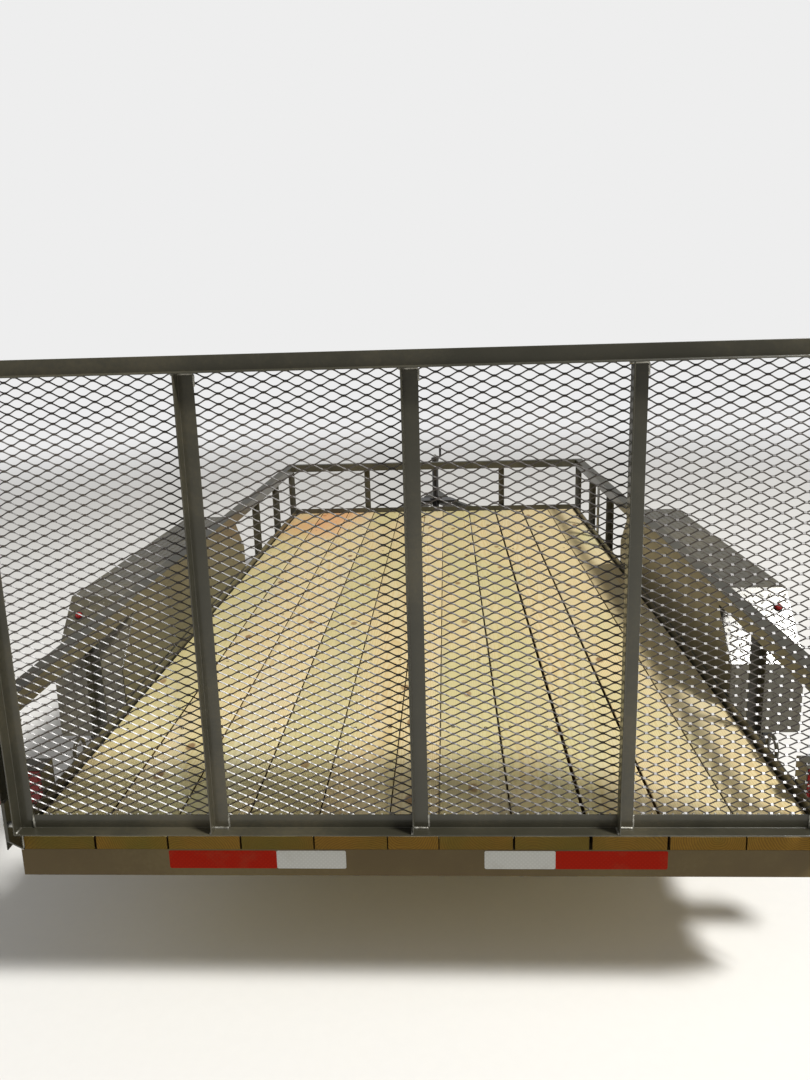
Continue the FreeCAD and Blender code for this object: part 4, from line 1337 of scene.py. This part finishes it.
def jack(sizes):
    y = jackY
    hub, up = Vector((0, y, 0)), Vector((0, 0, 1))
    tube, leg, bolts, crank, grip = [Form() for n in range(5)]
    corners = [Vector((x, bedY(far), 0)) for x, far in sizes["plate"]]
    tube.loft([[p + up * z for p in corners] for z in sizes["plateHeights"]])
    for form, key in ((tube, "tube"), (tube, "bore"), (leg, "leg"), (leg, "legBore")):
        form.lathe(sizes[key], hub, up, 48, ends=False)
    tube.piece("jackTube", "jack", "jack_paint", ["jack_tube"], ease=0.0012)
    leg.piece("jackLeg", "zinc", "jack_paint", ["jack_leg"], "jack_leg")
    for n in range(sizes["bolts"]):
        t = 2 * pi * n / sizes["bolts"] + pi / 2
        spot = (sizes["boltCircle"] * cos(t), y + sizes["boltCircle"] * sin(t), sizes["boltZ"])
        hexHead(bolts, spot, up, 0.0085, 0.0075)
    bolts.piece("jackBolts", "zinc", "zinc_steel", smooth=35)
    way = Vector((sin(sizes["turn"]), -cos(sizes["turn"]), 0))
    crank.lathe(sizes["hub"], hub, up, 24)
    z, bend = sizes["armZ"], sizes["bend"]
    end = hub + way * sizes["arm"]
    path = [hub + up * z, end - way * bend + up * z]
    for t in [radians(a) for a in (20, 40, 60, 80)]:
        path.append(end - way * bend * (1 - sin(t)) + up * (z + bend * (1 - cos(t))))
    path += [end + up * (z + bend), end + up * (z + sizes["rise"])]
    crank.tube(path, sizes["rod"], 16)
    crank.piece("jackHandle", "zinc", "jack_paint", ["jack_crank"])
    grip.lathe(sizes["grip"], end, up, 24)
    grip.piece("jackGrip", "grip", "jack_paint", ["jack_crank"])


noseSizes = {
    "ballY": 5.3394,
    "outline": ((0.034, 0.3861), (0.035, 0.387), (0.035, 0.449), (0.0345, 0.4525), (0.0325, 0.4562),
                (0.029, 0.46), (0.024, 0.464), (0.017, 0.4656), (0.0004, 0.4662)),
    "pin": ((0.0035, -0.017), (0.0035, 0.017)),
    "pinBack": 0.072,
    "pinZ": 0.4755,
}


def couplerNose(ballY, outline, pin, pinBack, pinZ):
    form = Form()
    form.lathe(outline, (0, bedY(ballY), 0), (0, 0, 1), 48, ends=False)
    form.lathe(pin, (0, bedY(ballY - pinBack), pinZ), (1, 0, 0), 16)
    form.piece("couplerNose", "frame", smooth=40)


jack(jackSizes)
couplerNose(**noseSizes)
print("jack and coupler made")


# CAD nodes that keep their shape get rounded edges and their finish

kept = {
    "frame": ["frame_front", "crossmembers", "top_rail_front", "uprights_front", "coupler", "coupler_latch",
              "hinge_ears", "latch_keepers", "tail_light_boxes"],
    # frame_rear gets the brown copy of the pewter, a painted reflection of sunlit ground
    "rear": ["frame_rear"],
    "tread": ["fender_left", "fender_right"],
    "running": ["spring_hangers", "equalizers"],
}
for pair in ("frame_side", "top_rail", "uprights", "tongue_beam", "fender_back"):
    kept["frame"] += [pair + "_left", pair + "_right"]
for finish, names in kept.items():
    for name in names:
        easeEdges(name, finish)
print("carried-over nodes finished")


# Floor, backdrop and light

studio = {
    "floor": tint(226, 224, 219),
    "floorGrain": tint(212, 210, 204),
    "radius": 40,
    "sunk": 0.0005,
    "sky": (0.9, 0.9, 0.9, 1.0),
    "backdrop": 0.95,
    "fill": 0.32,
    "key": 3500.0,
    "keyPlace": (7.8, -7.4, 14.3),
    "keySize": 2.4,
    "side": 60.0,
    "sidePlace": (-6.0, -4.5, 4.5),
    "sideSize": 4.0,
    "aim": (0, -0.6, 0.5),
    "near": 5.0,  # the floor is plain up to here and fades into the backdrop by the next
    "far": 14.0,
}


def makeFloor(sizes):
    data = bpy.data.meshes.new("floor")
    rim = [(sizes["radius"] * cos(t), sizes["radius"] * sin(t), -sizes["sunk"]) for t in turns(96)]
    data.from_pydata(rim, [], [tuple(range(len(rim)))])
    f = Finish("paleFloor")
    colour = f.blend(f.noise(f.place(), 30.0, 4.0) * 0.25, sizes["floor"], sizes["floorGrain"])
    plain = f.node("BsdfPrincipled", {}, {"Base Color": colour, "Roughness": 0.9, "Specular IOR Level": 0.1})
    glow = f.node("Emission", {}, {"Color": sizes["sky"], "Strength": sizes["backdrop"]})
    away = f.node("VectorMath", {"operation": "LENGTH"}, {0: f.place()}, "Value")
    seen = f.node("LightPath", {}, {}, "Is Camera Ray")
    share = f.between(away, sizes["near"], sizes["far"]) * seen
    f.close(f.node("MixShader", {}, {0: share, 1: plain, 2: glow}))
    data.materials.append(f.home)
    floor = linked("floor", data)


def makeLight(sizes):
    scene = bpy.context.scene
    scene.world = bpy.data.worlds.new("studio")
    # The camera, and what it sees through glass, gets the backdrop; all else gets the fill
    w = Finish("studio", scene.world)
    paths = w.node("LightPath", {}, {}, "Is Camera Ray")
    shown = w.sum("MAXIMUM", paths, paths.also("Is Transmission Ray"))
    level = w.node("MapRange", {}, {"Value": shown, "To Min": sizes["fill"], "To Max": sizes["backdrop"]})
    glow = w.node("Background", {}, {"Color": sizes["sky"], "Strength": level})
    w.close(glow, "OutputWorld")
    for name in ("key", "side"):
        lamp = bpy.data.lights.new(name, "AREA")
        lamp.energy = sizes[name]
        lamp.size = sizes[name + "Size"]
        made = linked(name, lamp)
        made.location = Vector(sizes[name + "Place"])
        made.rotation_euler = (Vector(sizes["aim"]) - made.location).to_track_quat("-Z", "Y").to_euler()
    scene.view_settings.view_transform = "Standard"


makeFloor(studio)
makeLight(studio)

bpy.context.view_layer.update()
